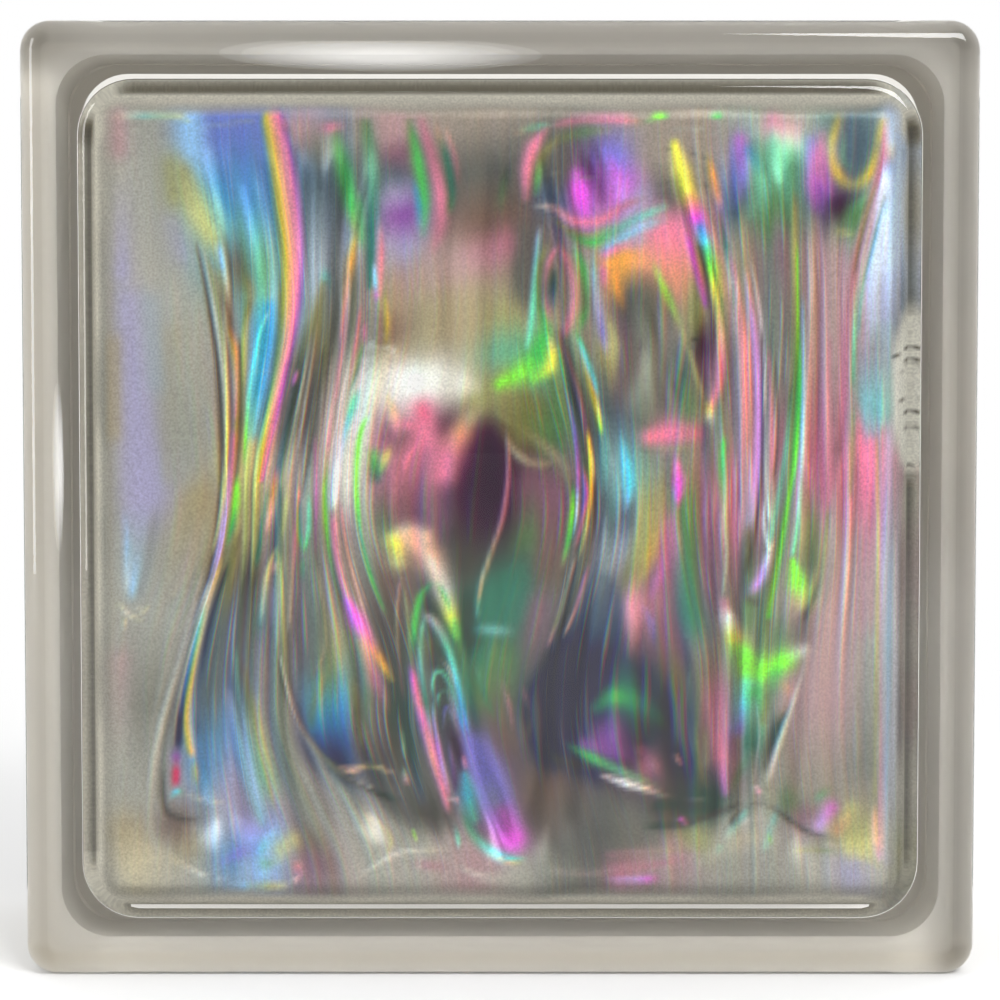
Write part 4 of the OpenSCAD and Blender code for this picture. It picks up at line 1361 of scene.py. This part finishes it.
def makeFilm():
    # the painted tint, with streaks finer than the mesh that run along the flow
    material, tree, shader, place = newMaterial("iridescentFilm")
    tint = place.node("ShaderNodeAttribute", {"attribute_name": "tint"}, None, "Color")
    matt = 1.0 - tint.out("Alpha")
    flow = place.node("ShaderNodeAttribute", {"attribute_name": "flow"}, None, "Vector")
    parts = place.node("ShaderNodeSeparateXYZ", None, {0: flow})
    across, down, life = (parts.out(name) for name in "XYZ")
    grain = place.node("ShaderNodeTexNoise", None,
                       {"Vector": place, "Scale": filmLook["grainScale"], "Detail": 0.0})
    split = place.node("ShaderNodeSeparateColor", None, {0: tint})
    channels = {}
    for name, side in (("Red", -1), ("Green", 0), ("Blue", 1)):
        alongX = across * filmLook["hairs"] + filmLook["fringe"]["hairs"] * side
        way = place.node("ShaderNodeCombineXYZ", None, {"X": alongX, "Y": down * filmLook["hairRun"]})
        hair = place.node("ShaderNodeTexNoise", {"noise_dimensions": "2D"},
                          {"Vector": way, "Scale": 1.0, "Detail": 1.0})
        gain = (hair - 0.5) * life * filmLook["hairContrast"]
        gain = gain + grain * filmLook["grainDepth"] + (1.0 - filmLook["grainDepth"] / 2)
        glint = hair.smooth(*filmLook["glintRange"]) * life * filmLook["hairGlint"]
        channels[name] = split.out(name) * gain + glint
    colour = place.node("ShaderNodeCombineColor", None, channels)
    tree.links.new(colour.socket, shader.inputs["Base Color"])
    rough = (grain - 0.5) * filmLook["grainRoughness"] + filmLook["roughness"]
    rough = rough + matt * filmLook["rimRoughness"]
    tree.links.new(rough.socket, shader.inputs["Roughness"])
    metal = (1.0 - matt) * filmLook["metallic"]
    tree.links.new(metal.socket, shader.inputs["Metallic"])
    shader.inputs["Specular IOR Level"].default_value = filmLook["specular"]
    return material


glassMaterial, coatMaterial, filmMaterial = makeGlass(), makeCoat(), makeFilm()
print("materials made")


def makeBlock():
    hollow = bpy.data.objects.new("hollow", makeCavity())
    scene.collection.objects.link(hollow)
    waves = hollow.modifiers.new("waves", "NODES")
    halfWidth = block["width"] / 2 - block["channelDepth"] - cavity["wallThickness"]
    waves.node_group = waveTree(glassMaterial, filmMaterial, halfWidth)
    sockets = {s.name: s.identifier for s in waves.node_group.interface.items_tree if s.in_out == "INPUT"}
    waves[sockets["Fold Share"]] = cavity["foldShare"]
    waves[sockets["Calm Width"]] = cavity["calmWidth"]
    bpy.context.view_layer.update()
    wavy = bpy.data.meshes.new_from_object(hollow.evaluated_get(bpy.context.evaluated_depsgraph_get()))
    hollow.modifiers.clear()
    hollow.data = wavy
    print("waves pressed", len(wavy.polygons), [m.name for m in wavy.materials])
    skin = bpy.data.objects.new("glassBlock", makeSkin())
    scene.collection.objects.link(skin)
    skin.data.materials.append(glassMaterial)
    skin.data.materials.append(coatMaterial)
    bpy.context.view_layer.objects.active = skin
    with bpy.context.temp_override(active_object=skin, selected_editable_objects=[skin, hollow]):
        bpy.ops.object.join()
    skin.data.polygons.foreach_set("use_smooth", [True] * len(skin.data.polygons))
    skin.data.update()
    return skin


glassBlock = makeBlock()
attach(glassBlock, "root")
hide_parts("glass_block")
print("block made", len(glassBlock.data.polygons))

# camera, lights and floor
studio = {
    "distance": 0.5,
    "elevation": 2.6,
    "frameWidth": 0.1973,
    "shift": 0.0015,
    "roomLight": 0.6,
    "paper": (0.86, 0.86, 0.86),
    "floorReach": 4.0,
    "floorFade": (0.05, 0.5),  # behind the block the paper goes over to plain white
    "worldFade": (-0.2, 0.3),
    "sensor": 36.0,
    # name, shape, place, width, height and watts
    "lamps": (
        ("keyLamp", "RECTANGLE", (0.55, -1.0, 0.9), 0.7, 0.5, 15.0),
        ("sideLamp", "RECTANGLE", (-0.9, -0.6, 0.35), 0.25, 0.8, 5.0),
        ("topLamp", "RECTANGLE", (0.1, -0.2, 1.2), 1.6, 1.0, 2.0),
    ),
    # faint lights that only show on the border: each is a stack of ellipses, from the whole size down,
    # one before the other
    "gleams": (
        ("topGleam", (-0.070, -1.04, 0.313), 0.19, 0.020, 0.060),
        ("leftGleam", (-0.262, -1.04, 0.07), 0.007, 0.10, 0.012),
    ),
    "gleamShares": (1.0, 0.86, 0.72, 0.58, 0.44, 0.30),
    "gleamGap": 0.003,
}


def raySeen(tree):
    # 1 for what the camera sees, straight or by way of glass and metal
    path = tree.nodes.new("ShaderNodeLightPath")
    seen = Val(tree, path.outputs["Is Camera Ray"])
    for name in ("Is Glossy Ray", "Is Transmission Ray"):
        seen = seen.math("MAXIMUM", Val(tree, path.outputs[name]))
    return seen


def makeFloor():
    mesh = bpy.data.meshes.new("floor")
    reach = studio["floorReach"]
    corners = [(-reach, -reach, 0), (reach, -reach, 0), (reach, reach, 0), (-reach, reach, 0)]
    mesh.from_pydata(corners, [], [(0, 1, 2, 3)])
    floor = bpy.data.objects.new("floor", mesh)
    scene.collection.objects.link(floor)
    paper, tree, shader, place = newMaterial("floorPaper")
    shader.inputs["Base Color"].default_value = (*studio["paper"], 1.0)
    shader.inputs["Roughness"].default_value = 0.9
    far = place.node("ShaderNodeSeparateXYZ", None, {0: place}).out("Y").smooth(*studio["floorFade"])
    white = place.node("ShaderNodeEmission", None, {"Color": (1.0, 1.0, 1.0, 1.0), "Strength": 1.0})
    shown = place.node("ShaderNodeMixShader", None,
                       {0: far * raySeen(tree), 1: Val(tree, shader.outputs[0]), 2: white})
    tree.links.new(shown.socket, tree.nodes["Material Output"].inputs["Surface"])
    mesh.materials.append(paper)


def makeWorld():
    world = bpy.data.worlds.new("studio")
    scene.world = world
    world.use_nodes = True
    tree = world.node_tree
    back = tree.nodes["Background"]
    back.inputs["Color"].default_value = (1.0, 1.0, 1.0, 1.0)
    way = Val(tree, tree.nodes.new("ShaderNodeTexCoord").outputs["Generated"])
    behind = way.node("ShaderNodeSeparateXYZ", None, {0: way}).out("Y").smooth(*studio["worldFade"])
    strength = behind * (1.0 - studio["roomLight"]) + studio["roomLight"]
    tree.links.new(strength.socket, back.inputs["Strength"])


def makeStudio():
    aim = Vector((0.0, -block["depth"] / 2, block["height"] / 2))
    tilt = math.radians(studio["elevation"])
    camera = bpy.data.objects.new("camera", bpy.data.cameras.new("camera"))
    scene.collection.objects.link(camera)
    camera.location = aim + studio["distance"] * Vector((0, -math.cos(tilt), math.sin(tilt)))
    camera.rotation_euler = (aim - camera.location).to_track_quat("-Z", "Y").to_euler()
    camera.data.sensor_width = studio["sensor"]
    camera.data.lens = studio["sensor"] * studio["distance"] / studio["frameWidth"]
    camera.data.shift_y = studio["shift"]
    camera.data.clip_start = 0.01
    scene.camera = camera
    makeFloor()
    makeWorld()
    lamps = list(studio["lamps"])
    whole = sum(share ** 2 for share in studio["gleamShares"])
    for name, spot, wide, high, power in studio["gleams"]:
        for step, share in enumerate(studio["gleamShares"]):
            near = Vector(spot).lerp(aim, studio["gleamGap"] * step)
            lamps.append((f"{name}{step + 1}", "ELLIPSE", near, wide * share, high * share,
                          power * share ** 2 / whole))
    for name, shape, spot, wide, high, power in lamps:
        lamp = bpy.data.objects.new(name, bpy.data.lights.new(name, "AREA"))
        scene.collection.objects.link(lamp)
        lamp.location = spot
        lamp.rotation_euler = (aim - Vector(spot)).to_track_quat("-Z", "Y").to_euler()
        lamp.data.shape = shape
        lamp.data.size = wide
        lamp.data.size_y = high
        lamp.data.energy = power


makeStudio()
print("studio set")
